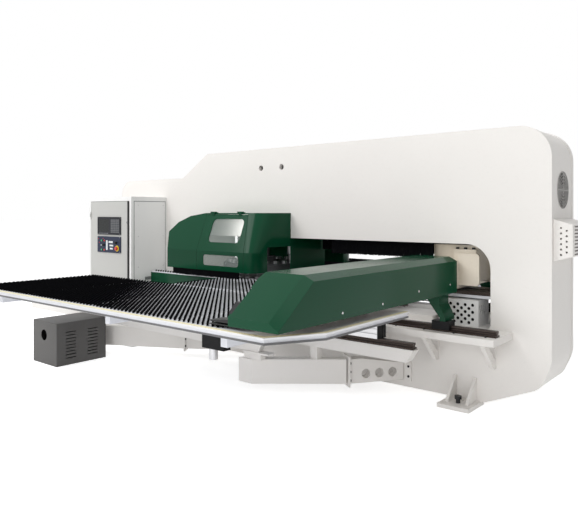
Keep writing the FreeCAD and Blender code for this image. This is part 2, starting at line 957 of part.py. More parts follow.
def rail_section(centre_y, bottom):
    """A profiled guide rail's section on its base strip, as (y, z) corners."""
    base = s.rail_base / 2
    head = s.rail_head / 2
    waist = s.rail_waist / 2
    top = bottom + s.rail_height
    low = bottom + s.rail_base_height
    return [
        (centre_y - base, bottom),
        (centre_y + base, bottom),
        (centre_y + base, low),
        (centre_y + waist, low),
        (centre_y + waist, top - 20.0),
        (centre_y + head, top - 14.0),
        (centre_y + head, top),
        (centre_y - head, top),
        (centre_y - head, top - 14.0),
        (centre_y - waist, top - 20.0),
        (centre_y - waist, low),
        (centre_y - base, low),
    ]


def rails():
    """The guide rails on the shelves and the inner wing beams, and the flat ones in the throat."""
    shelf = prism("x", rail_section(out(s.shelf_rail_reach), s.shelf_top),
                  left_by(s.shelf_rail_right + s.shelf_rail_length), s.shelf_rail_length)
    wing_centre = out(s.inner_beam_reach + s.inner_beam_width / 2)
    wing_bottom = s.inner_beam_bottom + s.inner_beam_height
    length = s.inner_beam_length - 40.0
    wing = prism("x", rail_section(wing_centre, wing_bottom),
                 left_by(s.inner_beam_right + s.inner_beam_length - 20.0), length)
    way = drive_ways()[1]
    part("linear_rails", group(shelf, mirrored(shelf), wing, mirrored(wing), way, mirrored(way)))


def wing_beams():
    """The two fixed beams on each side that the wing table runs on, with slanted ends."""
    top = s.inner_beam_bottom + s.inner_beam_height
    inner = prism("y", [
        (left_by(s.inner_beam_right + s.inner_beam_length), s.inner_beam_bottom),
        (left_by(s.inner_beam_right + s.beam_end_slant), s.inner_beam_bottom),
        (left_by(s.inner_beam_right), top),
        (left_by(s.inner_beam_right + s.inner_beam_length), top),
    ], out(s.inner_beam_reach + s.inner_beam_width), s.inner_beam_width)
    posts = []
    for tip, knee, knee_reach in arm_lines():
        share = (s.inner_beam_reach + s.inner_beam_width / 2 - knee_reach) / (
            s.arm_tip_reach - knee_reach)
        centre_x = left_by(knee + (tip - knee) * share)
        centre_y = out(s.inner_beam_reach + s.inner_beam_width / 2)
        half = s.beam_post / 2
        posts.append(box((centre_x - half, centre_y - half, s.arm_bottom + s.arm_height),
                         (centre_x + half, centre_y + half, s.inner_beam_bottom + 1.0)))
    raised = join(inner, *posts)
    bottom = OUTER_BEAM_BOTTOM
    outer = prism("y", [
        (left_by(s.outer_beam_right + s.outer_beam_length), bottom),
        (left_by(s.outer_beam_right + s.beam_end_slant), bottom),
        (left_by(s.outer_beam_right), bottom + s.outer_beam_height),
        (left_by(s.outer_beam_right + s.outer_beam_length), bottom + s.outer_beam_height),
    ], out(s.outer_beam_reach + s.outer_beam_width), s.outer_beam_width)
    part("wing_beams", group(raised, mirrored(raised), outer, mirrored(outer)))


def arm_lines():
    """Tip, knee and knee reach of the right and the left outrigger."""
    return ((s.right_arm_tip, s.right_arm_knee, s.right_arm_knee_reach),
            (s.left_arm_tip, s.left_arm_knee, s.left_arm_knee_reach))


def outrigger(root, knee, knee_reach, tip):
    """One diagonal arm: a pierced root bracket on the plate, a bolted knee and a box arm."""
    corner = Vector(float(left_by(root)), float(out(0.0)), 0)
    knee_spot = Vector(float(left_by(knee)), float(out(knee_reach)), 0)
    tip_spot = Vector(float(left_by(tip)), float(out(s.arm_tip_reach)), 0)
    half = float(s.arm_width) / 2
    bottom = float(s.arm_bottom)
    top = bottom + float(s.arm_height)
    flange = float(s.arm_flange)
    lap = float(s.arm_flange_overhang)

    def along(start, end, outline, width):
        """An upright outline of (run, height) points swept sideways over a plan line."""
        run = end - start
        heading = math.degrees(math.atan2(run.y, run.x))
        wire = Part.makePolygon([Vector(x, 0, z) for x, z in outline + outline[:1]])
        shape = Part.Face(wire).extrude(Vector(0, width, 0))
        shape.translate(Vector(0, -width / 2, 0))
        shape.Placement = Placement(start, Rotation(Vector(0, 0, 1), heading)).multiply(shape.Placement)
        return shape

    root_run = (knee_spot - corner).Length
    root_low = float(s.root_bottom)
    root_top = root_low + float(s.root_height)
    bracket = along(corner, knee_spot, [
        (0.0, root_low), (0.0, root_top), (root_run * 0.75, top), (root_run - flange, top),
        (root_run - flange, bottom), (root_run * 0.75, bottom)], 2 * half)
    heading = math.degrees(math.atan2((knee_spot - corner).y, (knee_spot - corner).x))
    for number in range(3):
        run = root_run * (0.2 + 0.24 * number)
        hole = Part.makeCylinder(float(s.root_hole), 4 * half,
                                 Vector(run, -2 * half, (root_low + root_top) / 2), Vector(0, 1, 0))
        hole.Placement = Placement(corner, Rotation(Vector(0, 0, 1), heading)).multiply(hole.Placement)
        bracket = bracket.cut(hole)
    inside = along(corner, knee_spot, [
        (-200.0, root_low - 50.0), (-200.0, top + 50.0), (root_run - flange - 20.0, top + 50.0),
        (root_run - flange - 20.0, root_low - 50.0)], 2 * (half - float(s.root_web)))
    bracket = bracket.cut(inside)
    reach = float(s.frame_length)
    indoors = Part.makeBox(reach, float(HALF), reach, Vector(corner.x - reach / 2, corner.y, -reach / 2))
    bracket = bracket.cut(indoors)
    plate = Part.makeBox(2 * float(s.root_plate), flange, float(s.root_height) + 20.0,
                         Vector(corner.x - float(s.root_plate), corner.y - flange, root_low - 10.0))
    end_plate = along(corner, knee_spot, [
        (root_run - flange, bottom - lap), (root_run - flange, top + lap),
        (root_run, top + lap), (root_run, bottom - lap)], 2 * (half + lap))
    bracket = bracket.fuse(plate).fuse(end_plate).removeSplitter()
    arm_run = (tip_spot - knee_spot).Length
    arm = along(knee_spot, tip_spot, [
        (0.0, bottom), (0.0, top), (arm_run + 3 * half, top), (arm_run + 3 * half, bottom)], 2 * half)
    seat_low = float(out(s.outer_beam_reach + s.outer_beam_width)) - flange
    seat_height = float(s.beam_seat)
    seat = Part.makeBox(6 * half, float(s.outer_beam_width) + 2 * flange, flange,
                        Vector(tip_spot.x - half, seat_low, top + seat_height - flange))
    stool = Part.makeBox(4 * half, float(s.outer_beam_width), seat_height,
                         Vector(tip_spot.x - half, seat_low + flange, top))
    # the arm starts off the knee plate, which is square to the root bracket, and ends flush
    # with its seat, parallel to the outer beam
    beyond = Part.makeBox(reach, reach, reach,
                          Vector(tip_spot.x - reach / 2, seat_low - reach, -reach / 2))
    arm = arm.fuse(stool).fuse(seat).cut(bracket).cut(beyond)
    return bracket, arm


def outriggers():
    """The four diagonal outriggers, each a root bracket and a box arm, with their bolts."""
    solids = []
    for root, knee, knee_reach, tip in (
            (s.right_arm_root, s.right_arm_knee, s.right_arm_knee_reach, s.right_arm_tip),
            (s.left_arm_root, s.left_arm_knee, s.left_arm_knee_reach, s.left_arm_tip)):
        bracket, arm = outrigger(root, knee, knee_reach, tip)
        solids += [bracket, max(arm.Solids, key=lambda solid: solid.Volume)]
    feature = DOC.addObject("Part::Feature", "NearOutriggers")
    feature.Shape = Part.makeCompound(solids)
    part("outriggers", both_sides(feature))
    bolts = DOC.addObject("Part::Feature", "NearBolts")
    bolts.Shape = Part.makeCompound(outrigger_bolts())
    part("bolts", both_sides(bolts))


def hex_head(spot, heading):
    """A hexagon bolt head that stands on a face, with its axis along a heading in the plan."""
    radius, height = float(s.bolt_radius), float(s.bolt_head)
    corners = []
    for turn in range(6):
        angle = math.radians(60 * turn)
        corners.append(Vector(0, radius * math.cos(angle), radius * math.sin(angle)))
    head = Part.Face(Part.makePolygon(corners + corners[:1])).extrude(Vector(height, 0, 0))
    angle = math.degrees(math.atan2(heading.y, heading.x))
    head.Placement = Placement(spot, Rotation(Vector(0, 0, 1), angle))
    return head


def outrigger_bolts():
    """The bolt heads on the outriggers' root plates and knee plates."""
    heads = []
    flange = float(s.arm_flange)
    middle = float(s.root_bottom + s.root_height / 2)
    for root, knee, knee_reach in ((s.right_arm_root, s.right_arm_knee, s.right_arm_knee_reach),
                                   (s.left_arm_root, s.left_arm_knee, s.left_arm_knee_reach)):
        corner = Vector(float(left_by(root)), float(out(0.0)), 0)
        knee_spot = Vector(float(left_by(knee)), float(out(knee_reach)), 0)
        along = (knee_spot - corner).normalize()
        across = Vector(-along.y, along.x, 0)
        for rise in (-45.0, 45.0):
            spot = Vector(corner.x + float(s.root_plate) - 25.0, corner.y - flange, middle + rise)
            heads.append(hex_head(spot, Vector(0, -1, 0)))
        span = float(s.arm_width / 2 + s.arm_flange_overhang / 2)
        for side in (-1, 1):
            for share in (0.15, 0.5, 0.85):
                height = float(s.arm_bottom + s.arm_height * share)
                spot = knee_spot - along * flange + across * (side * span)
                heads.append(hex_head(Vector(spot.x, spot.y, height), -along))
    return heads


# ------------------------------------------------------------------ tables
def brush_strips(outline, openings):
    """Slanted brush strips that fill an outline of (x, y) corners, less some openings."""
    corners = [Vector(float(x), float(y), 0) for x, y in outline]
    field = Part.Face(Part.makePolygon(corners + corners[:1]))
    for gap in openings:
        points = [Vector(float(x), float(y), 0) for x, y in gap]
        field = field.cut(Part.Face(Part.makePolygon(points + points[:1])))
    lows = [corner.x + corner.y for corner in corners]
    step = float(s.brush_pitch) * math.sqrt(2.0)
    width = float(s.brush_width) / math.sqrt(2.0)
    length = 6000.0
    direction = Vector(-1, 1, 0)
    solids = []
    across = math.floor(min(lows) / step) * step
    while across < max(lows):
        middle = Vector(across / 2, across / 2, 0)
        half = Vector(width / 2, width / 2, 0)
        ends = [middle - half - direction * length, middle + half - direction * length,
                middle + half + direction * length, middle - half + direction * length]
        strip = Part.Face(Part.makePolygon(ends + ends[:1])).common(field)
        for face in strip.Faces:
            if face.Area > 4 * float(s.brush_width) ** 2:
                solids.append(face.extrude(Vector(0, 0, float(s.brush_height))))
        across += step
    feature = DOC.addObject("Part::Feature", "Brushes")
    feature.Shape = Part.makeCompound(solids)
    feature.Placement = shift(z=s.table_top)
    return feature


def tray(outline, inner):
    """A folded table top: a skin with a deep rim."""
    bottom = s.table_top - s.table_depth
    block = prism("z", outline, bottom, s.table_depth)
    hollow = prism("z", inner, bottom - 1.0, s.table_depth - s.table_skin + 1.0)
    return cut(block, hollow)


def centre_tables():
    """The fixed tables each side of the drive slot, with their skirts and side strips."""
    rim = s.table_rim
    slot = -s.blade_slot / 2
    notch = out(s.centre_notch_reach)
    right, left = left_by(s.centre_right), left_by(s.centre_left)
    step = left_by(s.centre_notch)
    edge = out(s.centre_reach)
    lane_outer = out(s.leg_reach + s.leg_depth + s.leg_gap)
    lane_inner = out(s.leg_reach - s.leg_gap)
    lane_end = left_by(s.leg_top_left + s.travel + 2 * s.leg_gap)
    outline = [
        (right, edge), (right, lane_outer), (lane_end, lane_outer), (lane_end, lane_inner),
        (right, lane_inner), (right, slot), (step, slot), (step, notch), (left, notch), (left, edge),
    ]
    inner = [
        (right - rim, edge + rim), (right - rim, lane_outer - rim),
        (lane_end - rim, lane_outer - rim), (lane_end - rim, lane_inner + rim),
        (right - rim, lane_inner + rim), (right - rim, slot - rim), (step + rim, slot - rim),
        (step + rim, notch - rim), (left + rim, notch - rim), (left + rim, edge + rim),
    ]
    top = tray(outline, inner)
    bottom = s.table_top - s.table_depth
    skirt = box((step, -HALF + s.side_plate + s.seat, s.throat_floor),
                (right, -HALF + s.side_plate + s.seat + s.skirt_plate, bottom + 1.0))
    cross = []
    for number in range(2):
        start = step + s.cross_first + s.cross_pitch * number
        cross.append(box((start, out(s.cross_reach), bottom - 60.0),
                         (start + s.bar_width, slot - rim, bottom + 1.0)))
    near = join(top, skirt, *cross)
    strip_left = left_by(s.frame_length - s.cabinet_inset - s.side_table_gap)
    strip_near = out(s.centre_notch_reach + s.side_table_width)
    strip = box((strip_left, strip_near, bottom), (left - 4.0, notch, s.table_top))
    arms = []
    for share in (0.62, 0.97):
        start = left + (strip_left - left) * share
        arms.append(box((start - 20.0, notch - 5.0, bottom), (start + 20.0, out(0.0), bottom + 25.0)))
    strip = join(strip, *arms)
    slab = drive_ways()[0]
    part("centre_tables", group(near, mirrored(near), strip, mirrored(strip), slab, mirrored(slab)))
    margin = s.brush_margin
    field = [(right - margin, edge + 20.0), (right - margin, slot - 30.0), (step + margin, slot - 30.0),
             (step + margin, notch - 20.0), (left + 10.0, notch - 20.0), (left + 10.0, edge + 20.0)]
    gap = s.leg_gap
    lane_gap = [(right, lane_outer - gap), (lane_end - gap, lane_outer - gap),
                (lane_end - gap, lane_inner + gap), (right, lane_inner + gap)]
    main = brush_strips(field, [lane_gap])
    edge_strip = [(strip_left + 8.0, strip_near + 8.0), (left - 14.0, strip_near + 8.0),
            (left - 14.0, notch - 6.0), (strip_left + 8.0, notch - 6.0)]
    side = brush_strips(edge_strip, [])
    inner_face = -HALF + s.side_plate
    curtain = box((left_by(s.curtain_left), inner_face + s.seat, s.curtain_bottom),
                  (left_by(s.curtain_right), inner_face + s.seat + s.curtain_thickness, s.throat_top))
    part("centre_brushes", group(main, mirrored(main), side, mirrored(side), curtain))
    apron = box((strip_left, strip_near - s.apron_plate, s.apron_bottom),
                (left - 4.0, strip_near, s.table_top - 12.0))
    guard_x = left_by(s.hood_cover_right)
    guard = box((guard_x - s.apron_plate, -HALF + s.seat, s.hood_cover_bottom),
                (guard_x, HALF - s.seat, s.throat_top))
    part("green_panels", group(apron, mirrored(apron), guard))


def drive_ways():
    """The short way beside the drive slot: a slab on the throat's end wall with a rail on it."""
    wall = left_by(s.throat_right)
    start = left_by(s.way_left)
    top = s.way_bottom + s.way_slab
    slab = box((start, -s.way_outer, s.way_bottom), (wall, -s.way_inner, top))
    low = s.sump_floor + s.throat_small_radius
    foot = box((wall - s.way_foot, -s.way_outer, low), (wall, -s.way_inner, top))
    rail = box((start, -s.way_outer, top + s.seat), (wall, -s.way_inner, top + s.way_rail))
    return join(slab, foot), rail


def wing_outline(inset):
    """The wing table's plan, drawn in by an inset."""
    right, left = left_by(s.wing_right + inset), left_by(s.wing_left - inset)
    inner, outer = out(s.wing_inner + inset), out(s.wing_outer - inset)
    cut_x = s.wing_chamfer_run
    cut_y = s.wing_chamfer_reach
    return [
        (right, inner), (left, inner),
        (left, outer + cut_x), (left + cut_x, outer),
        (right - cut_x, outer), (right, outer + cut_y),
    ]


def wing_tables():
    """The moving brush tables: a tray on a welded underframe that reaches its runners."""
    bottom = s.table_top - s.table_depth
    top = tray(wing_outline(0.0), wing_outline(s.table_rim))
    bar_top = bottom - s.bar_gap
    bar_low = bar_top - s.bar_height
    bars = []
    centres = (left_by(s.runner_right + s.runner_length / 2),
               left_by(s.roller_block_left - s.roller_block_length / 2),
               left_by(s.left_block + s.left_block_length / 2))
    half = s.bar_width / 2
    inner_ends = (out(s.inner_beam_reach), out(s.outer_beam_reach), out(s.outer_beam_reach))
    for centre, inner_end in zip(centres, inner_ends):
        bars.append(box((centre - half, out(s.wing_outer - s.bar_inset), bar_low),
                        (centre + half, inner_end, bar_top)))
    for reach in (s.wing_inner + s.rib_inner, s.wing_outer - s.rib_inset):
        bars.append(box((centres[2] - 2 * half, out(reach) - half, bar_top - 20.0),
                        (centres[0] + 5 * half, out(reach) + half, bottom + s.table_depth - s.table_skin)))
    beam_top = OUTER_BEAM_BOTTOM + s.outer_beam_height + s.seat
    middle = out(s.outer_beam_reach + s.outer_beam_width / 2)
    for centre in centres[1:]:
        bars.append(box((centre - half, middle - half, beam_top + s.hook_rise),
                        (centre + half, middle + half, bar_low + 1.0)))
    near = join(top, *bars)
    part("wing_tables", both_sides(near))
    edge = 20.0
    field = [
        (left_by(s.cover_right + s.cover_width) - s.bare_gap, out(s.wing_inner) - edge),
        (left_by(s.wing_left) + edge, out(s.wing_inner) - edge),
        (left_by(s.wing_left) + edge, out(s.wing_outer) + s.wing_chamfer_run),
        (left_by(s.wing_left) + s.wing_chamfer_run, out(s.wing_outer) + s.brush_margin),
        (left_by(s.wing_right) - s.wing_bare - s.bare_slant, out(s.wing_outer) + s.brush_margin),
        (left_by(s.cover_right + s.cover_width) - s.bare_gap, out(s.wing_outer) + s.wing_bare),
    ]
    part("wing_brushes", both_sides(brush_strips(field, [])))


def runners():
    """Two grooved runners on each inner wing rail, and the bowl under each roller block."""
    rail_top = s.inner_beam_bottom + s.inner_beam_height + s.rail_height
    low = rail_top + s.seat
    high = s.table_top - s.table_depth - s.bar_gap - s.bar_height
    rise = high - low
    deep = s.groove
    solids, caps = [], []
    for side in (-1, 1):
        middle = out(s.inner_beam_reach + s.inner_beam_width / 2) + side * s.runner_pitch / 2
        near, far = middle - s.runner_width / 2, middle + s.runner_width / 2
        section = [(far, low), (far, high), (near, high)]
        for share in (0.75, 0.5, 0.25):
            groove = low + rise * share
            section += [(near, groove + deep / 2), (near + deep, groove + deep / 2),
                        (near + deep, groove - deep / 2), (near, groove - deep / 2)]
        section.append((near, low))
        start = left_by(s.runner_right + s.runner_length - s.runner_cap)
        solids.append(prism("x", section, start, s.runner_length - 2 * s.runner_cap))
        for place_left in (s.runner_right + s.runner_length, s.runner_right + s.runner_cap):
            caps.append(box((left_by(place_left), near - 3.0, low + 1.0),
                            (left_by(place_left) + s.runner_cap, far + 3.0, high - 1.0)))
    drop = OUTER_BEAM_BOTTOM + s.outer_beam_height + s.seat - s.roller_drop
    centre_y = out(s.outer_beam_reach + s.outer_beam_width) - s.seat - s.hook_width / 2
    roller = cylinder((left_by(s.roller_block_left - s.roller_inset), centre_y, drop - s.roller_length),
                      s.roller_radius, s.roller_length)
    part("runners", both_sides(group(roller, *solids)))
    return caps


def guide_blocks(caps):
    """The black blocks: on the shelf rails, on the outer wing beams, and the runners' end caps."""
    centre_y = out(s.shelf_rail_reach)
    rail_top = s.shelf_top + s.rail_height
    low = rail_top - s.block_lap
    saddle = box((left_by(s.block_left), centre_y - s.block_width / 2, low),
                 (left_by(s.block_left - s.block_length), centre_y + s.block_width / 2,
                  low + s.block_height))
    channel = box((left_by(s.block_left) - 1.0, centre_y - s.rail_head / 2 - s.seat, low - 1.0),
                  (left_by(s.block_left - s.block_length) + 1.0,
                   centre_y + s.rail_head / 2 + s.seat, rail_top + s.seat))
    shelf_block = cut(saddle, channel)
    beam_top = OUTER_BEAM_BOTTOM + s.outer_beam_height + s.seat
    face = out(s.outer_beam_reach + s.outer_beam_width) - s.seat
    back = out(s.outer_beam_reach)
    height = beam_top + s.hook_rise
    drop = beam_top - s.roller_drop
    outer = face - s.hook_width
    hook = prism("x", [(back, beam_top), (back, height), (outer, height), (outer, drop), (face, drop),
                       (face, beam_top)],
                 left_by(s.roller_block_left), s.roller_block_length)
    left_block = box((left_by(s.left_block + s.left_block_length), face, beam_top),
                     (left_by(s.left_block), back, height))
    part("guide_blocks", both_sides(group(shelf_block, hook, left_block, *caps)))


# ------------------------------------------------------------------ carriage beam
def beam_cover_solid(inset, stretch):
    """The beam cover's outer form on the near side, drawn in by an inset."""
    bottom = s.cover_bottom - stretch
    top = s.cover_top - inset
    tip = out(s.cover_reach - inset)
    rear = out(s.cover_inner - stretch)
    side = prism("x", [
        (rear, bottom), (rear, top),
        (tip + s.cover_slope, top), (tip, s.cover_nose - inset / 2), (tip, bottom),
    ], left_by(s.cover_right + s.cover_width - inset), s.cover_width - 2 * inset)
    right = left_by(s.cover_right + inset)
    left = left_by(s.cover_right + s.cover_width - inset)
    bevel, drop = s.cover_bevel, s.cover_bevel_drop
    section = prism("y", [
        (left, bottom), (left, top - drop), (left + 21.0, top), (right - bevel, top),
        (right, top - drop), (right, bottom),
    ], tip - 1.0, rear - tip + 2.0)
    # the bevel runs on down the sloped nose: a wedge taken off its right corner
    reach = float(s.cover_slope)
    rise = float(s.cover_top - s.cover_nose)
    nose = Vector(float(right), float(tip), float(s.cover_nose - inset / 2))
    slope = Vector(0, reach, rise)
    normal = Vector(float(drop), -float(bevel) * rise / slope.Length, float(bevel) * reach / slope.Length)
    normal.normalize()
    start = nose + Vector(-float(bevel), 0, 0)
    size = float(s.cover_reach)
    wedge = Part.makePlane(size, size, Vector(-size / 2, -size / 2, 0)).extrude(Vector(0, 0, size / 3))
    wedge.Placement = Placement(start, Rotation(Vector(0, 0, 1), normal))
    corner = DOC.addObject("Part::Feature", "NoseBevel")
    corner.Shape = wedge
    return cut(common(side, section), corner)


def beam_parts():
    """The hollow carriage beam with its saddle and drive blade, and the green covers over it."""
    low, high = s.beam_bottom, s.beam_bottom + s.beam_height
    right, left = left_by(s.beam_right), left_by(s.beam_right + s.beam_width)
    tip = -out(s.beam_reach)
    tube = prism("x", [
        (-tip, low), (tip, low), (tip, low + s.beam_nose), (tip - s.beam_slope, high),
        (s.beam_slope - tip, high), (-tip, low + s.beam_nose),
    ], left, s.beam_width)
    wall = s.beam_wall
    hollow = box((left + wall, -tip - 1.0, low + wall), (right - wall, tip + 1.0, high - wall))
    saddle_near = -HALF + s.saddle_inset
    end, nip = left_by(s.saddle_right), s.saddle_chamfer
    cheek = prism("y", [
        (right - 1.0, s.saddle_bottom), (end - nip, s.saddle_bottom), (end, s.saddle_bottom + nip),
        (end, s.saddle_top - nip), (end - nip, s.saddle_top), (right - 1.0, s.saddle_top),
    ], saddle_near, s.saddle_plate)
    core = box((right - 2.0, saddle_near + s.saddle_plate - 1.0, s.saddle_bottom + s.saddle_plate),
               (end - s.saddle_setback, 1.0 - saddle_near - s.saddle_plate, s.saddle_top))
    flange = box((left_by(s.flange_left), saddle_near + nip, high - 1.0),
                 (left_by(s.flange_right), -saddle_near - nip, s.flange_top))
    head = box((left_by(s.head_left), -s.head_half, high - 1.0),
               (left_by(s.flange_right), s.head_half, s.head_top))
    saddle = join(cheek, mirrored(cheek), core, flange, head)
    blade_x = left_by(s.beam_right + s.beam_width / 2)
    blade = box((blade_x - s.nut_length / 2, -s.blade / 2, s.screw_axis),
                (blade_x + s.nut_length / 2, s.blade / 2, low + 1.0))
    nut = cylinder((blade_x - s.nut_length / 2, 0.0, s.screw_axis), s.nut_radius, s.nut_length, "x")
    bore = cylinder((blade_x - s.nut_length, 0.0, s.screw_axis), s.ball_screw_radius + s.fit,
                    2 * s.nut_length, "x")
    part("beam", cut(join(cut(tube, hollow), saddle, blade, nut), bore))
    wall = s.cover_wall
    shell = cut(beam_cover_solid(0.0, 0.0), beam_cover_solid(wall, 10.0))
    cover_left = left_by(s.cover_right + s.cover_width)
    open_side = box((cover_left - wall, out(s.cover_reach - 20.0), s.cover_bottom - wall),
                    (cover_left + 2 * wall, out(0.0), s.cover_top - s.cover_lip))
    pads = []
    for reach in (s.cover_inner + 100.0, s.cover_reach - s.cover_slope - 200.0):
        pads.append(box((right - 40.0, out(reach), high), (right, out(reach) + 80.0, s.cover_top - wall)))
    near = join(cut(shell, open_side), *pads)
    part("beam_covers", both_sides(near))
    rails_low = []
    for height in (s.clamp_rail_low, s.clamp_rail_high):
        rails_low.append(box((left - s.clamp_rail, out(s.clamp_rail_reach), height),
                             (left, -out(s.clamp_rail_reach), height + s.clamp_rail_height)))
    part("clamp_rails", group(*rails_low))


def legs():
    """The folded green legs from the beam down to the shelf blocks."""
    foot = s.shelf_top + s.rail_height - s.block_lap + s.block_height
    near = out(s.leg_reach + s.leg_depth)
    outline = [
        (left_by(s.leg_top_left), s.beam_bottom),
        (left_by(s.leg_foot_left), foot + s.leg_foot_rise),
        (left_by(s.leg_foot_left), foot),
        (left_by(s.leg_foot_right), foot),
        (left_by(s.leg_foot_right), foot + s.leg_foot_rise),
        (left_by(s.leg_top_right), s.leg_knee),
        (left_by(s.leg_top_right), s.beam_bottom),
    ]
    leg = prism("y", outline, near, s.leg_depth)
    part("legs", both_sides(leg))


def clamps():
    """The clamp carriage on the beam, and its clamps with hinged upper jaws."""
    left = left_by(s.beam_right + s.beam_width)
    face = left - s.clamp_rail - s.seat
    start = out(s.carriage_outer)
    plate = box((face - s.carriage_plate, start, s.carriage_bottom),
                (face, start + s.carriage_length, s.carriage_bottom + s.carriage_height))
    shoes = []
    for height in (s.clamp_rail_low, s.clamp_rail_high):
        for place_y in (start + 20.0, start + s.carriage_length - s.shoe_length - 20.0):
            shoe = box((face - 1.0, place_y, height - 12.0),
                       (left - 1.5, place_y + s.shoe_length, height + s.clamp_rail_height + 12.0))
            gap = box((face, place_y - 1.0, height - s.seat),
                      (left, place_y + s.shoe_length + 1.0, height + s.clamp_rail_height + s.seat))
            shoes.append(cut(shoe, gap))
    part("clamp_carriage", join(plate, *shoes))
    body_right = face - s.carriage_plate
    names = ("near_jaw", "middle_jaw", "far_jaw")
    spacing = (s.carriage_length - 2 * s.clamp_inset) / (len(names) - 1)
    level = s.sheet_level
    pin_x = body_right - s.clamp_depth + 30.0
    pin_z = level + 52.0
    bodies, jaws = [], []
    for number in range(len(names)):
        middle = start + s.clamp_inset + spacing * number
        near = middle - s.clamp_width / 2
        bottom = level - s.jaw_plate
        block = prism("y", [
            (body_right, bottom + 30.0), (body_right, level + s.clamp_height),
            (body_right - s.clamp_depth * 0.55, level + s.clamp_height),
            (body_right - s.clamp_depth, level + s.clamp_height * 0.55),
            (body_right - s.clamp_depth, level), (body_right - s.clamp_depth - s.jaw_length + 30.0, level),
            (body_right - s.clamp_depth - s.jaw_length, bottom), (body_right - 30.0, bottom),
        ], near, s.clamp_width)
        slot = box((body_right - s.clamp_depth - 1.0, middle - s.jaw_width / 2 + 20.0,
                    level + s.jaw_gap / 2),
                   (body_right - 30.0, middle + s.jaw_width / 2 - 20.0, level + s.clamp_height + 1.0))
        pin = cylinder((pin_x, near + 2.0, pin_z), s.jaw_pin, s.clamp_width - 4.0, "y")
        bodies.append(join(cut(block, slot), pin))
        low = level + s.jaw_gap
        lever = prism("y", [
            (pin_x + 22.0, pin_z - 25.0), (pin_x + 22.0, pin_z + 25.0), (pin_x - 22.0, pin_z + 25.0),
            (pin_x - 48.0, pin_z - 2.0), (body_right - s.clamp_depth - 22.0, low + 20.0),
            (body_right - s.clamp_depth - 22.0, low + 2.0), (pin_x - 10.0, low + 2.0),
        ], middle - s.jaw_width / 2 + 21.0, s.jaw_width - 42.0)
        finger = prism("y", [
            (body_right - s.clamp_depth - 8.0, low + 26.0), (body_right - s.clamp_depth - 8.0, low + 2.0),
            (body_right - s.clamp_depth - s.jaw_length + 24.0, low),
            (body_right - s.clamp_depth - s.jaw_length + 10.0, low + s.jaw_plate),
        ], middle - s.jaw_width / 2, s.jaw_width)
        hole = cylinder((pin_x, middle - s.jaw_width, pin_z), s.jaw_pin + s.fit, 2 * s.jaw_width, "y")
        jaws.append(cut(join(lever, finger), hole))
    part("clamp_bodies", group(*bodies))
    for name, jaw in zip(names, jaws):
        part(name, jaw)


def valve_block():
    """The dark air valve under the beam beside the wing table, with its rigid pipe."""
    right = left_by(s.cover_right + 40.0)
    centre_y = out(s.valve_reach)
    top = s.beam_bottom
    height = top - s.valve_radius - 2.0
    body = cylinder((right - s.valve_length, centre_y, height), s.valve_radius, s.valve_length, "x")
    pad = box((right - s.valve_length * 0.7, centre_y - 20.0, height),
              (right - s.valve_length * 0.4, centre_y + 20.0, top))
    plug = cylinder((right - 1.0, centre_y, height), s.valve_radius * 0.6, 26.0, "x")
    pipe = cylinder((right + 14.0, centre_y, height), s.pipe_radius, s.cover_bottom + 60.0 - height)
    part("valve_block", join(body, pad, plug, pipe))


# ------------------------------------------------------------------ carriage drive
def carriage_drive():
    """The ball screw under the throat table, its bearing blocks and motor, and the guard."""
    start = left_by(s.ball_screw_right + s.ball_screw_length)
    axis = s.screw_axis
    screw = cylinder((start, 0.0, axis), s.ball_screw_radius, s.ball_screw_length, "x")
    pulley = cylinder((left_by(s.ball_screw_right) - 62.0, 0.0, axis), s.nut_radius, 24.0, "x")
    part("carriage_screw", join(screw, pulley))
    half = s.bearing_block / 2
    blocks = []
    for place_x, floor in ((start + 6.0, s.throat_floor), (left_by(s.ball_screw_right) - 34.0, s.sump_floor)):
        block = box((place_x, -half, floor), (place_x + 28.0, half, axis + half))
        bore = cylinder((place_x - 1.0, 0.0, axis), s.ball_screw_radius + s.fit, 30.0, "x")
        blocks.append(cut(block, bore))
    near = -HALF + s.side_plate
    motor_y = near + s.guard_depth / 2
    motor_x = left_by(s.guard_right + 50.0)
    motor = cylinder((motor_x - s.motor_length, motor_y, axis), s.motor_radius, s.motor_length, "x")
    stand = box((motor_x - s.motor_length * 0.7, motor_y - 35.0, s.sump_floor),
                (motor_x - s.motor_length * 0.3, motor_y + 35.0, axis))
    carriage_motor = join(motor, stand)
    turret_motor = cylinder((left_by(s.turret_centre), 0.0, s.throat_top + s.skin), s.motor_radius * 1.6,
                            s.motor_length * 1.4)
    part("servo_motors", group(carriage_motor, turret_motor))
    right, left = left_by(s.guard_right), left_by(s.guard_right + s.guard_length)
    plate = s.guard_plate
    outer = box((left, near + 1.0, s.sump_floor), (right, near + s.guard_depth, s.guard_top))
    inner = box((left - 1.0, near + 1.0 + plate, s.sump_floor - 1.0),
                (right - plate, near + s.guard_depth + 1.0, s.guard_top - plate))
    openings = []
    for number in range(4):
        for level in range(3):
            for half_step in (0, 1):
                hole_x = right - s.guard_margin - s.guard_pitch * (number + half_step / 2)
                hole_z = s.guard_top - s.guard_drop - s.guard_rise * (level + half_step / 2)
                openings.append(cylinder((hole_x, near - 5.0, hole_z), s.guard_hole, 20.0, "y"))
    for number in range(int(s.guard_slots)):
        low_y = near + s.guard_margin + s.guard_slot_pitch * number
        low_z = s.guard_top - s.guard_drop - s.guard_slot_height
        openings.append(prism("x", [
            (low_y, low_z), (low_y + s.guard_slot_width, low_z),
            (low_y + s.guard_slot_width - s.guard_slot_lean, low_z + s.guard_slot_height),
            (low_y - s.guard_slot_lean, low_z + s.guard_slot_height),
        ], right - 2 * plate, 3 * plate))
    part("drive_guard", cut(outer, inner, *openings))
    return blocks


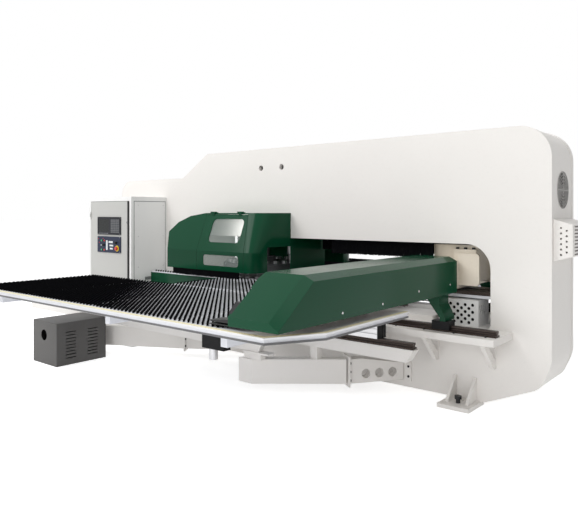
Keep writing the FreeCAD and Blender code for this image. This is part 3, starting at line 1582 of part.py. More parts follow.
# ------------------------------------------------------------------ turret
def turret_parts(screw_bearings):
    """The upper and lower turret discs, their tools, bearings, ram and striker."""
    centre = left_by(s.turret_centre)
    shaft = s.shaft_radius
    circle = s.station_circle
    top = s.upper_disc + s.turret_plate
    ceiling = s.throat_top
    upper = revolve([
        (0.0, s.upper_disc), (s.turret_radius - 12.0, s.upper_disc), (s.turret_radius, s.upper_disc + 12.0),
        (s.turret_radius, top - 12.0), (s.turret_radius - 12.0, top), (s.hub_radius, top),
        (s.hub_radius, top + s.hub_height), (shaft, top + s.hub_height), (shaft, ceiling - s.seat),
        (0.0, ceiling - s.seat),
    ], centre, 0.0)
    low_top = s.lower_disc + s.turret_plate
    lower = revolve([
        (0.0, s.throat_floor + s.seat), (shaft, s.throat_floor + s.seat), (shaft, s.lower_disc),
        (s.turret_radius - 12.0, s.lower_disc), (s.turret_radius, s.lower_disc + 12.0),
        (s.turret_radius, low_top - 12.0), (s.turret_radius - 12.0, low_top), (0.0, low_top),
    ], centre, 0.0)
    station = cylinder((centre + circle, 0.0, s.upper_disc - 1.0), s.punch_radius + s.fit,
                       s.turret_plate + 2.0)
    step = 360.0 / MOST_STATIONS
    turns = [spin(step * number, centre, 0.0) for number in range(MOST_STATIONS)]
    part("upper_turret", cut(upper, copies(station, turns)))
    socket_depth = 20.0
    socket = cylinder((centre + circle, 0.0, low_top - socket_depth), s.die_radius + s.fit,
                      socket_depth + 1.0)
    part("lower_turret", cut(lower, copies(socket, turns)))
    tip_low = s.sheet_level + s.punch_lift
    punch = revolve([
        (0.0, tip_low), (s.punch_tip, tip_low), (s.punch_tip, s.upper_disc),
        (s.punch_radius, s.upper_disc + 8.0), (s.punch_radius, top + s.seat), (s.punch_head, top + s.seat),
        (s.punch_head, top + s.punch_head_height), (0.0, top + s.punch_head_height),
    ], centre + circle, 0.0)
    part("punches", copies(punch, turns[1:]))
    head_gap = 30.0
    struck = revolve([
        (0.0, tip_low), (s.punch_tip, tip_low), (s.punch_tip, s.upper_disc),
        (s.punch_radius, s.upper_disc + 8.0), (s.punch_radius, top + head_gap),
        (s.punch_head, top + head_gap),
        (s.punch_head, top + head_gap + s.punch_head_height), (0.0, top + head_gap + s.punch_head_height),
    ], centre + circle, 0.0)
    part("striking_punch", struck)
    die_low = low_top - socket_depth + s.seat
    die = revolve([
        (s.punch_tip + 0.5, die_low), (s.die_radius, die_low), (s.die_radius, s.sheet_level - 6.0),
        (s.die_radius - 6.0, s.sheet_level - 1.0), (s.punch_tip + 0.5, s.sheet_level - 1.0),
    ], centre + circle, 0.0)
    part("dies", copies(die, turns))
    collar = s.bearing_radius
    upper_bearing = revolve([
        (shaft + s.fit, ceiling - s.bearing_height), (collar, ceiling - s.bearing_height), (collar, ceiling),
        (shaft + s.fit, ceiling),
    ], centre, 0.0)
    lower_bearing = revolve([
        (shaft + s.fit, s.throat_floor), (collar, s.throat_floor),
        (collar, s.throat_floor + s.bearing_height),
        (shaft + s.fit, s.throat_floor + s.bearing_height),
    ], centre, 0.0)
    part("bearings", group(upper_bearing, lower_bearing, *screw_bearings))
    strike_x = centre + circle
    foot_low = top + head_gap + s.punch_head_height + s.seat
    striker = revolve([
        (0.0, foot_low), (s.striker_foot, foot_low), (s.striker_foot, foot_low + s.striker_foot_height),
        (s.striker_radius, foot_low + s.striker_foot_height + 10.0),
        (s.striker_radius, foot_low + s.striker_length),
        (0.0, foot_low + s.striker_length),
    ], strike_x, 0.0)
    part("striker", striker)
    base = s.throat_top + s.skin
    bore_top = foot_low + s.striker_length + 20.0
    ram = revolve([
        (s.striker_radius + s.fit, base), (s.cylinder_radius, base),
        (s.cylinder_radius, base + s.cylinder_height),
        (0.0, base + s.cylinder_height), (0.0, bore_top), (s.striker_radius + s.fit, bore_top),
    ], strike_x, 0.0)
    part("ram_cylinder", ram)


def corner_cutter(right, front, low, high):
    """What is taken off the cover's right corner: a rounded fold that widens above the crease."""
    lean = float(s.hood_cover_lean)
    outside = 30.0

    def section(height, run, reach, edge_y):
        start = Vector(right - run, edge_y, height)
        end = Vector(right, edge_y + reach, height)
        curve = Part.BezierCurve()
        curve.setPoles([start, Vector(right, edge_y, height), end])
        corners = [end, Vector(right + outside, end.y, height),
                   Vector(right + outside, edge_y - outside, height),
                   Vector(start.x, edge_y - outside, height), start]
        edges = [curve.toShape()]
        for number in range(len(corners) - 1):
            edges.append(Part.makeLine(corners[number], corners[number + 1]))
        return Part.Wire(edges)

    run, reach = float(s.corner_run), float(s.corner_reach)
    crease = float(s.hood_cover_crease)
    top_run, top_reach = float(s.corner_top_run), float(s.corner_top_reach)
    base = section(low, run, reach, front)
    fold = section(crease, run, reach, front)
    roof = section(high, top_run, top_reach, front + lean)
    feature = DOC.addObject("Part::Feature", "RoundedCorner")
    lower = Part.makeLoft([base, fold], True, True)
    feature.Shape = lower.fuse(Part.makeLoft([fold, roof], True, True))
    return feature


def cover_solid(inset, back):
    """The turret cover's outer form, drawn in by an inset and open at the back and below."""
    right = left_by(s.hood_cover_right) - inset
    left = left_by(s.hood_cover_left) + inset
    front = out(s.hood_cover_reach) + inset
    low = s.hood_cover_bottom - back
    high = s.hood_cover_top - inset
    crease = s.hood_cover_crease
    rear = out(0.0) + back
    side = prism("x", [
        (rear, low), (rear, high), (front + s.hood_cover_lean, high), (front, crease), (front, low),
    ], left, right - left)
    run = s.hood_cover_shoulder_run
    drop = s.hood_cover_shoulder
    face = prism("y", [
        (right, low), (right, high), (left + run, high), (left + run * 0.55, high - drop * 0.2),
        (left + run * 0.22, high - drop * 0.62), (left, high - drop - 40.0), (left, low),
    ], front - 1.0, rear - front + 2.0)
    plan = prism("z", [
        (right, rear), (left, rear), (left, front + 70.0), (left + 60.0, front), (right, front),
    ], low - 1.0, high - low + 2.0)
    corner = corner_cutter(float(right), float(front), float(low) - 1.0, float(high))
    return cut(common(side, face, plan), corner)


def cover_shell():
    """The folded skin of a turret cover, with a tunnel in its right wall for the metal sheet."""
    wall = s.hood_cover_wall
    right = left_by(s.hood_cover_right)
    near = out(s.hood_cover_reach - s.corner_reach - s.tunnel_margin)
    tunnel = box((right - 3 * wall, near, s.hood_cover_bottom - 1.0),
                 (right + wall, out(-1.0), s.tunnel_top))
    return cut(cover_solid(0.0, 0.0), cover_solid(wall, 5.0), tunnel)


def door_outline(gap):
    """The lifting door's front outline between the upright seam and the rounded corner."""
    low = s.hood_cover_bottom - 20.0
    high = s.hood_cover_top - 14.0 - gap
    right = left_by(s.door_right) - gap
    return [
        (right, low), (right, s.hood_cover_crease), (left_by(s.door_top_right) - gap, high),
        (left_by(s.seam_left) + gap, high), (left_by(s.seam_left) + gap, low),
    ]


def window_outline(grow):
    """The viewing window in the door's sloped face."""
    left = left_by(s.window_left) - grow
    right = left + s.window_width + 2 * grow
    low, high = s.window_low - grow, s.window_low + s.window_height + grow
    radius = s.window_radius
    return [(left, low, radius), (right, low, radius), (right, high, radius), (left, high, radius)]


def slot_outline(grow):
    """The low viewing slot in the door."""
    left = left_by(s.slot_left) - grow
    right = left + s.slot_width + 2 * grow
    low, high = s.slot_low - grow, s.slot_low + s.slot_height + grow
    radius = s.slot_radius
    return [(left, low, radius), (right, low, radius), (right, high, radius), (left, high, radius)]


def turret_covers():
    """The folded green covers on both sides, and the near one's lifting door with its panes."""
    wall = s.hood_cover_wall
    front = out(s.hood_cover_reach) - 5.0
    depth = s.hood_cover_lean + 40.0
    shell = cover_shell()
    doorway = prism("y", door_outline(0.0), front, depth)
    edge = out(s.hood_cover_reach - s.hood_cover_lean)
    roof = s.hood_cover_top
    line = (edge - s.knuckle, roof + s.knuckle + 1.0)

    def leaf_lug(start, length):
        return box((start, line[0] - 8.0, roof - 32.0), (start + length, line[0], line[1]))

    def frame_lug(start, length):
        return box((start, line[0], roof - 1.0), (start + length, line[0] + s.hinge_lug + s.knuckle, line[1]))

    barrels, pins = [], []
    first, last = left_by(s.seam_left), left_by(s.door_top_right)
    for start in (first + s.hinge_margin, last - s.hinge_margin - s.knuckle_length):
        moving, fixed = hinge("x", (0.0, line[0], line[1]), start, s.knuckle_length, leaf_lug, frame_lug)
        barrels.append(moving)
        pins.append(fixed)
    part("near_turret_cover", join(cut(shell, doorway), *pins))
    skin = cover_shell()
    leaf = prism("y", door_outline(s.seam_gap), front, depth)
    window = prism("y", window_outline(0.0), front, depth)
    slot = prism("y", slot_outline(0.0), front, depth)
    part("cover_door", join(cut(common(skin, leaf), window, slot), *barrels))
    glazing = cut(cover_solid(wall, 0.0), cover_solid(wall + s.pane, 5.0))
    pane = common(glazing, prism("y", window_outline(s.pane_lap), front, depth))
    slit = common(glazing, prism("y", slot_outline(s.pane_lap), front, depth))
    part("door_window", group(pane, slit))
    part("far_turret_cover", mirrored(cover_shell()))


# ------------------------------------------------------------------ control cabinet
def cabinet_parts():
    """The cabinet shell, its door, and the panels and controls on the door."""
    place_right = s.frame_length - s.cabinet_inset
    right, left = left_by(place_right), left_by(place_right + s.cabinet_width)
    front = out(s.cabinet_depth)
    wall = s.cabinet_wall
    top = s.cabinet_height
    shell = box((left, front, 0.0), (right, out(0.0) - s.seat, top))
    hollow = box((left + wall, front + wall, wall), (right - wall, out(0.0) - s.seat - wall, top - wall))
    door_left, door_right = left + s.cabinet_border, right - s.cabinet_border
    door_top = top - s.door_head
    gap = s.door_gap
    doorway = box((door_left - gap, front - 5.0, s.door_bottom - gap),
                  (door_right + gap, front + 40.0, door_top + gap))
    slats = []
    for number in range(int(s.vent_slats)):
        height = s.vent_bottom + s.vent_height * number / s.vent_slats
        slats.append(box((right - 2 * wall, front + s.vent_setback, height),
                         (right + wall, front + s.vent_setback + s.vent_length, height + s.vent_slat)))
    stop_lip = front + s.door_plate
    leaf = box((door_left, front, s.door_bottom), (door_right, stop_lip, door_top))
    relief = box((door_left + 18.0, front + 3.0, s.door_bottom + 18.0),
                 (door_right - 18.0, stop_lip + 1.0, door_top - 18.0))
    lug = s.hinge_lug

    def leaf_lug(start, length):
        return box((door_left, front - 4.0, start), (door_left + lug, front + 1.0, start + length))

    def frame_lug(start, length):
        edge = door_left - gap
        return box((edge - lug, front - 4.0, start), (edge + 2.0, front + 1.0, start + length))

    barrels, pins = [], []
    for start in (s.door_bottom + 150.0, door_top - 150.0 - s.knuckle_length):
        moving, fixed = hinge("z", (door_left - 2.0, front - s.knuckle - 1.0, 0.0), start, s.knuckle_length,
                              leaf_lug, frame_lug)
        barrels.append(moving)
        pins.append(fixed)
    part("cabinet", join(cut(shell, hollow, doorway, *slats), *pins))
    part("cabinet_door", join(cut(leaf, relief), *barrels))
    panel_left = (door_left + door_right) / 2 - s.panel_width / 2
    panel_right = panel_left + s.panel_width
    face = front - s.panel_plate
    screen = box((panel_left, face, s.screen_bottom), (panel_right, front, s.screen_bottom + s.screen_height))
    deep = face + s.screen_recess
    low, high = s.screen_bottom + s.screen_margin, s.screen_bottom + s.screen_height - s.screen_margin
    glass_left = panel_left + s.screen_margin
    glass = box((glass_left, face - 1.0, low), (glass_left + s.glass_width, deep, high))
    keys = box((panel_left + s.keys_left, face - 1.0, low), (panel_right - s.screen_margin, deep, high))
    part("screen_panel", cut(screen, glass, keys))
    board = box((panel_left, face, s.panel_bottom), (panel_right, front, s.panel_bottom + s.panel_height))
    controls = (
        ("cycle_start_button", 99.0, 146.0, s.button_radius),
        ("feed_hold_button", 160.0, 146.0, s.button_radius),
        ("power_on_button", 99.0, 31.0, s.button_radius),
        ("power_off_button", 160.0, 31.0, s.button_radius),
        ("feed_knob", 404.0, 123.0, s.knob_radius * 0.4),
        ("mode_knob", 142.0, 92.0, s.knob_radius * 0.4),
        ("stop_button", 418.0, 55.0, s.stop_stem),
    )
    sockets = []
    for name, across, up, radius in controls:
        sockets.append(cylinder((panel_left + across, face - 1.0, s.panel_bottom + up), radius + s.fit,
                                s.panel_plate - 1.0, "y"))
    part("operator_panel", cut(board, *sockets))
    for name, across, up, radius in controls:
        part(name, control(name, panel_left + across, face, s.panel_bottom + up, radius))
    lock_z = s.door_bottom + s.lock_rise
    lock = cylinder((door_right - 36.0, front - s.lock_height, lock_z), s.lock_radius, s.lock_height, "y")
    key = box((door_right - 38.0, front - s.lock_height - 4.0, lock_z - s.lock_radius * 0.8),
              (door_right - 34.0, front - s.lock_height + 1.0, lock_z + s.lock_radius * 0.8))
    part("door_lock", join(lock, key))


def control(name, x, face, z, stem_radius):
    """One control on the operator panel: a stem in its socket and a cap outside the face."""
    reach = 3.0
    stem = s.panel_plate - 2.0 - s.seat
    if name == "stop_button":
        profile = [
            (0.0, -stem + 4.0), (stem_radius, -stem + 4.0), (stem_radius, 8.0), (s.stop_radius, 10.0),
            (s.stop_radius, s.stop_height - 8.0), (s.stop_radius - 6.0, s.stop_height),
            (0.0, s.stop_height),
        ]
    elif name.endswith("knob"):
        profile = [(0.0, -stem), (stem_radius, -stem), (stem_radius, s.seat), (s.knob_radius, s.seat),
                   (s.knob_radius - 2.0, s.knob_height), (0.0, s.knob_height)]
    else:
        profile = [(0.0, -stem + reach), (stem_radius, -stem + reach), (stem_radius, s.button_height - 2.0),
                   (stem_radius - 2.0, s.button_height), (0.0, s.button_height)]
    body = DOC.addObject("PartDesign::Body", "Control")
    sketch = sketch_of(body, "XZ_Plane", profile)
    turn = body.newObject("PartDesign::Revolution", "Turn")
    turn.Profile = sketch
    turn.ReferenceAxis = (sketch, ["V_Axis"])
    turn.Angle = 360.0
    body.Tip = turn
    place(body, x, face, z, Rotation(Vector(1, 0, 0), 90))
    if not name.endswith("knob"):
        return body
    ridge = box((x - 2.5, face - s.knob_height - 5.0, z - s.knob_radius * 0.9),
                (x + 2.5, face - s.knob_height + 3.0, z + s.knob_radius * 0.9))
    return join(body, ridge)


# ------------------------------------------------------------------ power unit on the floor
def power_unit():
    """The grey power unit that stands under the wing table, with louvres and a fan hole."""
    right, left = left_by(s.unit_right), left_by(s.unit_right + s.unit_width)
    # the unit stands against the end of the left outrigger
    inner = s.outer_beam_reach + s.outer_beam_width + s.arm_flange
    front, back = out(inner + s.unit_depth), out(inner)
    wall = s.unit_wall
    case = box((left, front, 0.0), (right, back, s.unit_height))
    hollow = box((left + wall, front + wall, wall), (right - wall, back - wall, s.unit_height - wall))
    fan_x = left_by(s.unit_fan_left)
    hole = cylinder((fan_x, front - 5.0, s.unit_fan_height), s.unit_fan, 20.0, "y")
    slots = []
    for column in (0.28, 0.72):
        middle = front + s.unit_depth * column
        for number in range(int(s.louvre_rows)):
            height = 70.0 + s.louvre_pitch * number
            slots.append(box((right - 15.0, middle - s.louvre_length / 2, height),
                             (right + 5.0, middle + s.louvre_length / 2, height + 9.0)))
    seat = cylinder((fan_x, front + s.unit_fan_setback, s.unit_fan_height), s.fan_hub / 4,
                    s.unit_depth - s.unit_fan_setback - wall + 1.0, "y")
    part("power_unit", join(cut(case, hollow, hole, *slots), seat))
    part("power_unit_fan", unit_rotor(fan_x, front + s.unit_fan_setback))


def unit_rotor(x, bore_end):
    """The power unit's fan on its spindle."""
    depth = 30.0
    hub = Part.makeCylinder(18.0, depth)
    shape = hub
    blades = int(s.fan_blades) - 1
    for number in range(blades):
        blade = Part.makeBox(float(s.unit_fan) - 20.0, 2.5, depth * 0.9)
        blade.translate(Vector(16.0, -1.25, -depth * 0.45))
        blade.rotate(Vector(), Vector(1, 0, 0), 40)
        blade.translate(Vector(0, 0, depth / 2))
        blade.rotate(Vector(), Vector(0, 0, 1), 360.0 * number / blades)
        shape = shape.fuse(blade)
    bore = Part.makeCylinder(float(s.fan_hub / 4 + s.fit), depth / 2, Vector(0, 0, depth / 2))
    feature = DOC.addObject("Part::Feature", "UnitRotor")
    feature.Shape = shape.cut(bore).removeSplitter()
    start = float(bore_end) - depth / 2 - float(s.seat)
    feature.Placement = Placement(Vector(float(x), start, float(s.unit_fan_height)), AXIS_TURN["y"])
    return feature


# ------------------------------------------------------------------ build, check and write
def build():
    """Make every sub-part in turn."""
    frame_parts()
    feet()
    end_fan()
    end_hood()
    shelves()
    rails()
    wing_beams()
    outriggers()
    centre_tables()
    wing_tables()
    guide_blocks(runners())
    beam_parts()
    legs()
    clamps()
    valve_block()
    turret_parts(carriage_drive())
    turret_covers()
    cabinet_parts()
    power_unit()


def check():
    """Stop if any object failed or any sub-part is not a valid solid."""
    for item in DOC.Objects:
        if "Invalid" in item.State or "Error" in item.State:
            raise RuntimeError("%s (%s) failed" % (item.Name, item.Label))
    labels = [item.Label for item in PARTS]
    if len(set(labels)) != len(labels):
        raise RuntimeError("two sub-parts share a label")
    for item in PARTS:
        if item.Shape.isNull() or not item.Shape.isValid() or not item.Shape.Solids:
            raise RuntimeError("%s is not a valid solid" % item.Label)


def write():
    """Write each sub-part to a file of its own."""
    os.makedirs("parts", exist_ok=True)
    for item in PARTS:
        item.Shape.exportStep(os.path.join("parts", item.Label + ".step"))
        print("%-22s %3d solids %12.0f mm3" % (item.Label, len(item.Shape.Solids), item.Shape.Volume))
    print("%d sub-parts" % len(PARTS))


build()
DOC.recompute()
check()
write()
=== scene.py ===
"""Looks of the CNC turret punch press: finishes, brushes, panel details, light and camera."""

import logging
import math
import random
from dataclasses import dataclass, field, replace
from enum import Enum
from typing import Iterable, Sequence

import bmesh
import bpy
from mathutils import Matrix, Vector


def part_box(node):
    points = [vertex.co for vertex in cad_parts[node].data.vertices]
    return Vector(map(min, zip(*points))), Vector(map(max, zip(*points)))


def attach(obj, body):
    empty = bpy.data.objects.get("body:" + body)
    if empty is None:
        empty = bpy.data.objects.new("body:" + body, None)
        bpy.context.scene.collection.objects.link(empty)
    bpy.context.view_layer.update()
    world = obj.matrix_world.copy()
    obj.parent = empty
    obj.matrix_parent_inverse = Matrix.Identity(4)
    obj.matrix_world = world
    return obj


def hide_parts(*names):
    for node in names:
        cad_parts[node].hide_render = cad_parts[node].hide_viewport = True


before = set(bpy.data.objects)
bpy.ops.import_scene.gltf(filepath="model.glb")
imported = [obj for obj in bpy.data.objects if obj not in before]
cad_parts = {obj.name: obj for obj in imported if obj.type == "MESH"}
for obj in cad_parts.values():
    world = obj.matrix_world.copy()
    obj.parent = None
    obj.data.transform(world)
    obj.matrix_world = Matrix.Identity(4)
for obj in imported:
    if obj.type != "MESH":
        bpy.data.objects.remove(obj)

LOG = logging.getLogger("turret_punch_press")
Point = tuple[float, float, float]
Pair = tuple[float, float]
Colour = tuple[float, float, float]

IMAGE_WIDTH = 578
IMAGE_HEIGHT = 524
RIGHTWARD = (1, 0, 0)
NEARWARD = (0, -1, 0)
UPWARD = (0, 0, 1)
WING_TABLE_SEAMS = (-1.12, -0.12, 0.88)


# ------------------------------------------------------------------ shader nodes
def add_noise(
    tree: bpy.types.NodeTree,
    place: bpy.types.NodeSocket,
    scale: float,
    detail: float,
    roughness: float = 0.5,
) -> bpy.types.NodeSocket:
    """Add a noise texture.

    Args:
        tree: The node tree that grows.
        place: The coordinates that the texture reads.
        scale: How fine it is.
        detail: How many finer layers it has.
        roughness: How strong those layers are.

    Returns:
        The socket of its pattern.
    """
    noise = tree.nodes.new("ShaderNodeTexNoise")
    noise.inputs["Scale"].default_value = scale
    noise.inputs["Detail"].default_value = detail
    noise.inputs["Roughness"].default_value = roughness
    tree.links.new(place, noise.inputs["Vector"])
    return noise.outputs["Fac"]


def add_mix(
    tree: bpy.types.NodeTree, factor: bpy.types.NodeSocket, first: Colour, second: Colour
) -> bpy.types.Node:
    """Add a mix of two colours.

    Args:
        tree: The node tree that grows.
        factor: The share of the second colour.
        first: The first colour.
        second: The second colour.

    Returns:
        The mix node.
    """
    mix = tree.nodes.new("ShaderNodeMix")
    mix.data_type = "RGBA"
    mix.inputs["A"].default_value = (*first, 1.0)
    mix.inputs["B"].default_value = (*second, 1.0)
    tree.links.new(factor, mix.inputs["Factor"])
    return mix


def add_range(
    tree: bpy.types.NodeTree, value: bpy.types.NodeSocket, source: Pair, target: Pair
) -> bpy.types.NodeSocket:
    """Add a map from one range of values to another.

    Args:
        tree: The node tree that grows.
        value: The value to map.
        source: Where the value starts and ends.
        target: What those two become.

    Returns:
        The socket of the mapped value.
    """
    spread = tree.nodes.new("ShaderNodeMapRange")
    spread.inputs["From Min"].default_value = source[0]
    spread.inputs["From Max"].default_value = source[1]
    spread.inputs["To Min"].default_value = target[0]
    spread.inputs["To Max"].default_value = target[1]
    tree.links.new(value, spread.inputs["Value"])
    return spread.outputs["Result"]


def scaled(colour: Colour, factor: float) -> Colour:
    """Make a colour lighter or darker.

    Args:
        colour: The colour.
        factor: What each of its shares is multiplied by.

    Returns:
        The new colour, no share above one.
    """
    red, green, blue = (min(1.0, share * factor) for share in colour)
    return red, green, blue


# ------------------------------------------------------------------ finishes
class Grain(Enum):
    """The fine surface pattern of a finish."""

    ORANGE_PEEL = "orange_peel"
    TEXTURED = "textured"
    BRUSHED = "brushed"
    CAST = "cast"
    SMOOTH = "smooth"


GRAIN_SCALE = {
    Grain.ORANGE_PEEL: 420.0,
    Grain.TEXTURED: 900.0,
    Grain.BRUSHED: 260.0,
    Grain.CAST: 180.0,
    Grain.SMOOTH: 120.0,
}
BRUSHED_ACROSS = 8.0
BRUSHED_ALONG = 0.25
BUMP_DISTANCE = 0.001
BEVEL_SAMPLES = 4
COAT_ROUGHNESS = 0.08
LIGHTER_SHARE = 0.4
GRIME_SHARE = 0.35
GRIME_LIFT = 0.03
GRIME_RANGE = (0.52, 0.78)
WHOLE_RANGE = (0.0, 1.0)
SMOOTHER, ROUGHER = 0.06, 0.08
SMOOTHEST = 0.02
GLASS_IOR = 1.5
SMEAR_LIGHTER = 1.15


@dataclass(frozen=True)
class Surface:
    """What a piece is coated with or made of: a named material with one main colour."""

    name: str
    colour: Colour

    def material(self) -> bpy.types.Material:
        """Fetch the node material, or build it the first time.

        Returns:
            The Blender material of this surface.
        """
        found = bpy.data.materials.get(self.name)
        if found is not None:
            return found
        material = bpy.data.materials.new(self.name)
        material.use_nodes = True
        self.fill(material)
        return material

    def fill(self, material: bpy.types.Material) -> None:
        """Add the surface's own nodes.

        Args:
            material: The new material.

        Raises:
            NotImplementedError: Always, since each kind of surface has its own nodes.
        """
        raise NotImplementedError


@dataclass(frozen=True)
class Finish(Surface):
    """A procedural finish: a base colour with soft soiling, edge rounding and fine grain."""

    roughness: float
    metallic: float = 0.0
    coat: float = 0.0
    specular: float = 0.5
    grain: Grain = Grain.ORANGE_PEEL
    bump: float = 0.05
    variation: float = 0.06
    soil: float = 0.1
    edge: float = 0.003
    glow: float = 0.0
    axis: int = 0

    def fill(self, material: bpy.types.Material) -> None:
        """Add the finish's nodes.

        Args:
            material: The new material.
        """
        material.diffuse_color = (*self.colour, 1.0)
        tree = material.node_tree
        shader = tree.nodes["Principled BSDF"]
        shader.inputs["Metallic"].default_value = self.metallic
        shader.inputs["Coat Weight"].default_value = self.coat
        shader.inputs["Coat Roughness"].default_value = COAT_ROUGHNESS
        shader.inputs["Specular IOR Level"].default_value = self.specular
        place = tree.nodes.new("ShaderNodeTexCoord").outputs["Object"]
        self._colour_nodes(tree, shader, place)
        self._grain_nodes(tree, shader, place)
        # glow is painted light: the surface shines on its own, though it is no lamp.
        if self.glow > 0.0:
            shader.inputs["Emission Color"].default_value = (*self.colour, 1.0)
            shader.inputs["Emission Strength"].default_value = self.glow

    def _colour_nodes(
        self, tree: bpy.types.NodeTree, shader: bpy.types.Node, place: bpy.types.NodeSocket
    ) -> None:
        """Vary the base colour in broad soft patches, with small specks of grime over them.

        Args:
            tree: The material's node tree.
            shader: Its Principled shader.
            place: Its texture coordinates.
        """
        cloud = add_noise(tree, place, scale=2.3, detail=6.0, roughness=0.55)
        darker = scaled(self.colour, 1.0 - self.variation)
        lighter = scaled(self.colour, 1.0 + self.variation * LIGHTER_SHARE)
        shade = add_mix(tree, cloud, darker, lighter)
        specks = add_noise(tree, place, scale=34.0, detail=8.0, roughness=0.7)
        gather = add_range(tree, specks, GRIME_RANGE, (0.0, self.soil))
        red, green, blue = (GRIME_SHARE * share + GRIME_LIFT for share in self.colour)
        dirt = add_mix(tree, gather, self.colour, (red, green, blue))
        tree.links.new(shade.outputs["Result"], dirt.inputs["A"])
        tree.links.new(dirt.outputs["Result"], shader.inputs["Base Color"])
        smoothest = max(SMOOTHEST, self.roughness - SMOOTHER)
        roughest = min(1.0, self.roughness + ROUGHER)
        rough = add_range(tree, cloud, WHOLE_RANGE, (smoothest, roughest))
        tree.links.new(rough, shader.inputs["Roughness"])

    def _grain_nodes(
        self, tree: bpy.types.NodeTree, shader: bpy.types.Node, place: bpy.types.NodeSocket
    ) -> None:
        """Add the fine grain as a bump over softly rounded edges.

        Args:
            tree: The material's node tree.
            shader: Its Principled shader.
            place: Its texture coordinates.
        """
        stretch = tree.nodes.new("ShaderNodeMapping")
        if self.grain is Grain.BRUSHED:
            scale = [BRUSHED_ACROSS] * 3
            scale[self.axis] = BRUSHED_ALONG
            stretch.inputs["Scale"].default_value = scale
        tree.links.new(place, stretch.inputs["Vector"])
        grain = add_noise(tree, stretch.outputs["Vector"], GRAIN_SCALE[self.grain], detail=3.0)
        bump = tree.nodes.new("ShaderNodeBump")
        bump.inputs["Strength"].default_value = self.bump
        bump.inputs["Distance"].default_value = BUMP_DISTANCE
        tree.links.new(grain, bump.inputs["Height"])
        if self.edge > 0.0:
            soft = tree.nodes.new("ShaderNodeBevel")
            soft.samples = BEVEL_SAMPLES
            soft.inputs["Radius"].default_value = self.edge
            tree.links.new(soft.outputs["Normal"], bump.inputs["Normal"])
        tree.links.new(bump.outputs["Normal"], shader.inputs["Normal"])


@dataclass(frozen=True)
class GlassFinish(Surface):
    """Clear or tinted safety glass with faint smears."""

    alpha: float
    roughness: float = 0.04

    def fill(self, material: bpy.types.Material) -> None:
        """Add the pane's nodes.

        Args:
            material: The new material.
        """
        tree = material.node_tree
        shader = tree.nodes["Principled BSDF"]
        shader.inputs["Alpha"].default_value = self.alpha
        shader.inputs["IOR"].default_value = GLASS_IOR
        place = tree.nodes.new("ShaderNodeTexCoord").outputs["Object"]
        smear = add_noise(tree, place, scale=9.0, detail=5.0)
        tint = add_mix(tree, smear, self.colour, scaled(self.colour, SMEAR_LIGHTER))
        tree.links.new(tint.outputs["Result"], shader.inputs["Base Color"])
        rough = add_range(tree, smear, WHOLE_RANGE, (self.roughness, self.roughness + ROUGHER))
        tree.links.new(rough, shader.inputs["Roughness"])


# Paints.
FRAME_PAINT = Finish(
    "finish_frame_paint", (0.83, 0.805, 0.775),
    roughness=0.42, specular=0.35, variation=0.03, soil=0.05,
)
PLATE_PAINT = Finish(
    "finish_plate_paint", (0.73, 0.74, 0.78), roughness=0.38, variation=0.08, soil=0.16,
)
CREAM_PAINT = Finish(
    "finish_cream_paint", (0.80, 0.73, 0.62), roughness=0.42, variation=0.05, soil=0.12,
)
CABINET_PAINT = Finish(
    "finish_cabinet_paint", (0.84, 0.84, 0.83),
    roughness=0.5, grain=Grain.TEXTURED, bump=0.12, variation=0.03, soil=0.04,
)
# The cabinet's grey is its own paint; the door's darker copy of it is painted shade on the front,
# set against the lit side.
CABINET_DOOR_SHADED = replace(CABINET_PAINT, name="finish_cabinet_door_shaded", colour=(0.50, 0.50, 0.48))
GUARD_GREY = Finish(
    "finish_guard_grey", (0.42, 0.41, 0.40),
    roughness=0.5, specular=0.3, variation=0.04, soil=0.08, edge=0.0,
)
UNIT_PAINT = Finish(
    "finish_unit_paint", (0.078, 0.075, 0.072),
    roughness=0.55, grain=Grain.TEXTURED, bump=0.15, variation=0.1, soil=0.2,
)
GREEN_PAINT = Finish(
    "finish_green_paint", (0.003, 0.057, 0.025),
    roughness=0.15, specular=0.13, bump=0.02, variation=0.08, soil=0.05,
)
BLACK_PAINT = Finish(
    "finish_black_paint", (0.012, 0.012, 0.013),
    roughness=0.42, specular=0.12, variation=0.15, soil=0.1,
)
EDGE_CREAM = Finish(
    "finish_edge_cream", (0.80, 0.74, 0.50),
    roughness=0.45, grain=Grain.SMOOTH, variation=0.08, soil=0.12, edge=0.001,
)

# Metals.
BOLT_STEEL = Finish(
    "finish_bolt_steel", (0.03, 0.03, 0.032),
    roughness=0.4, metallic=0.7, grain=Grain.SMOOTH, edge=0.001,
)
TOOL_STEEL = Finish(
    "finish_tool_steel", (0.45, 0.45, 0.46),
    roughness=0.28, metallic=1.0, grain=Grain.BRUSHED, bump=0.08,
)
RAIL_STEEL = Finish(
    "finish_rail_steel", (0.050, 0.036, 0.030),
    roughness=0.36, metallic=0.6, grain=Grain.BRUSHED, bump=0.12, variation=0.2, soil=0.3,
)
TURRET_IRON = Finish(
    "finish_turret_iron", (0.10, 0.10, 0.105),
    roughness=0.45, metallic=0.8, grain=Grain.CAST, bump=0.2,
)
ALUMINIUM = Finish(
    "finish_profile_aluminium", (0.62, 0.62, 0.63),
    roughness=0.34, metallic=0.9, grain=Grain.BRUSHED, bump=0.06,
)
# Dark grey of the table's side channel, also painted shade in the cabinet's panel gap and louvre.
CHANNEL_AND_SHADE_GREY = Finish(
    "finish_channel_and_shade_grey", (0.12, 0.12, 0.125),
    roughness=0.45, metallic=0.3, grain=Grain.SMOOTH, edge=0.001,
)
VALVE_BLACK = Finish(
    "finish_valve_black", (0.035, 0.028, 0.024),
    roughness=0.35, metallic=0.6, grain=Grain.SMOOTH,
)
LOCK_CHROME = Finish(
    "finish_lock_chrome", (0.55, 0.55, 0.55),
    roughness=0.15, metallic=1.0, grain=Grain.SMOOTH, edge=0.0005,
)

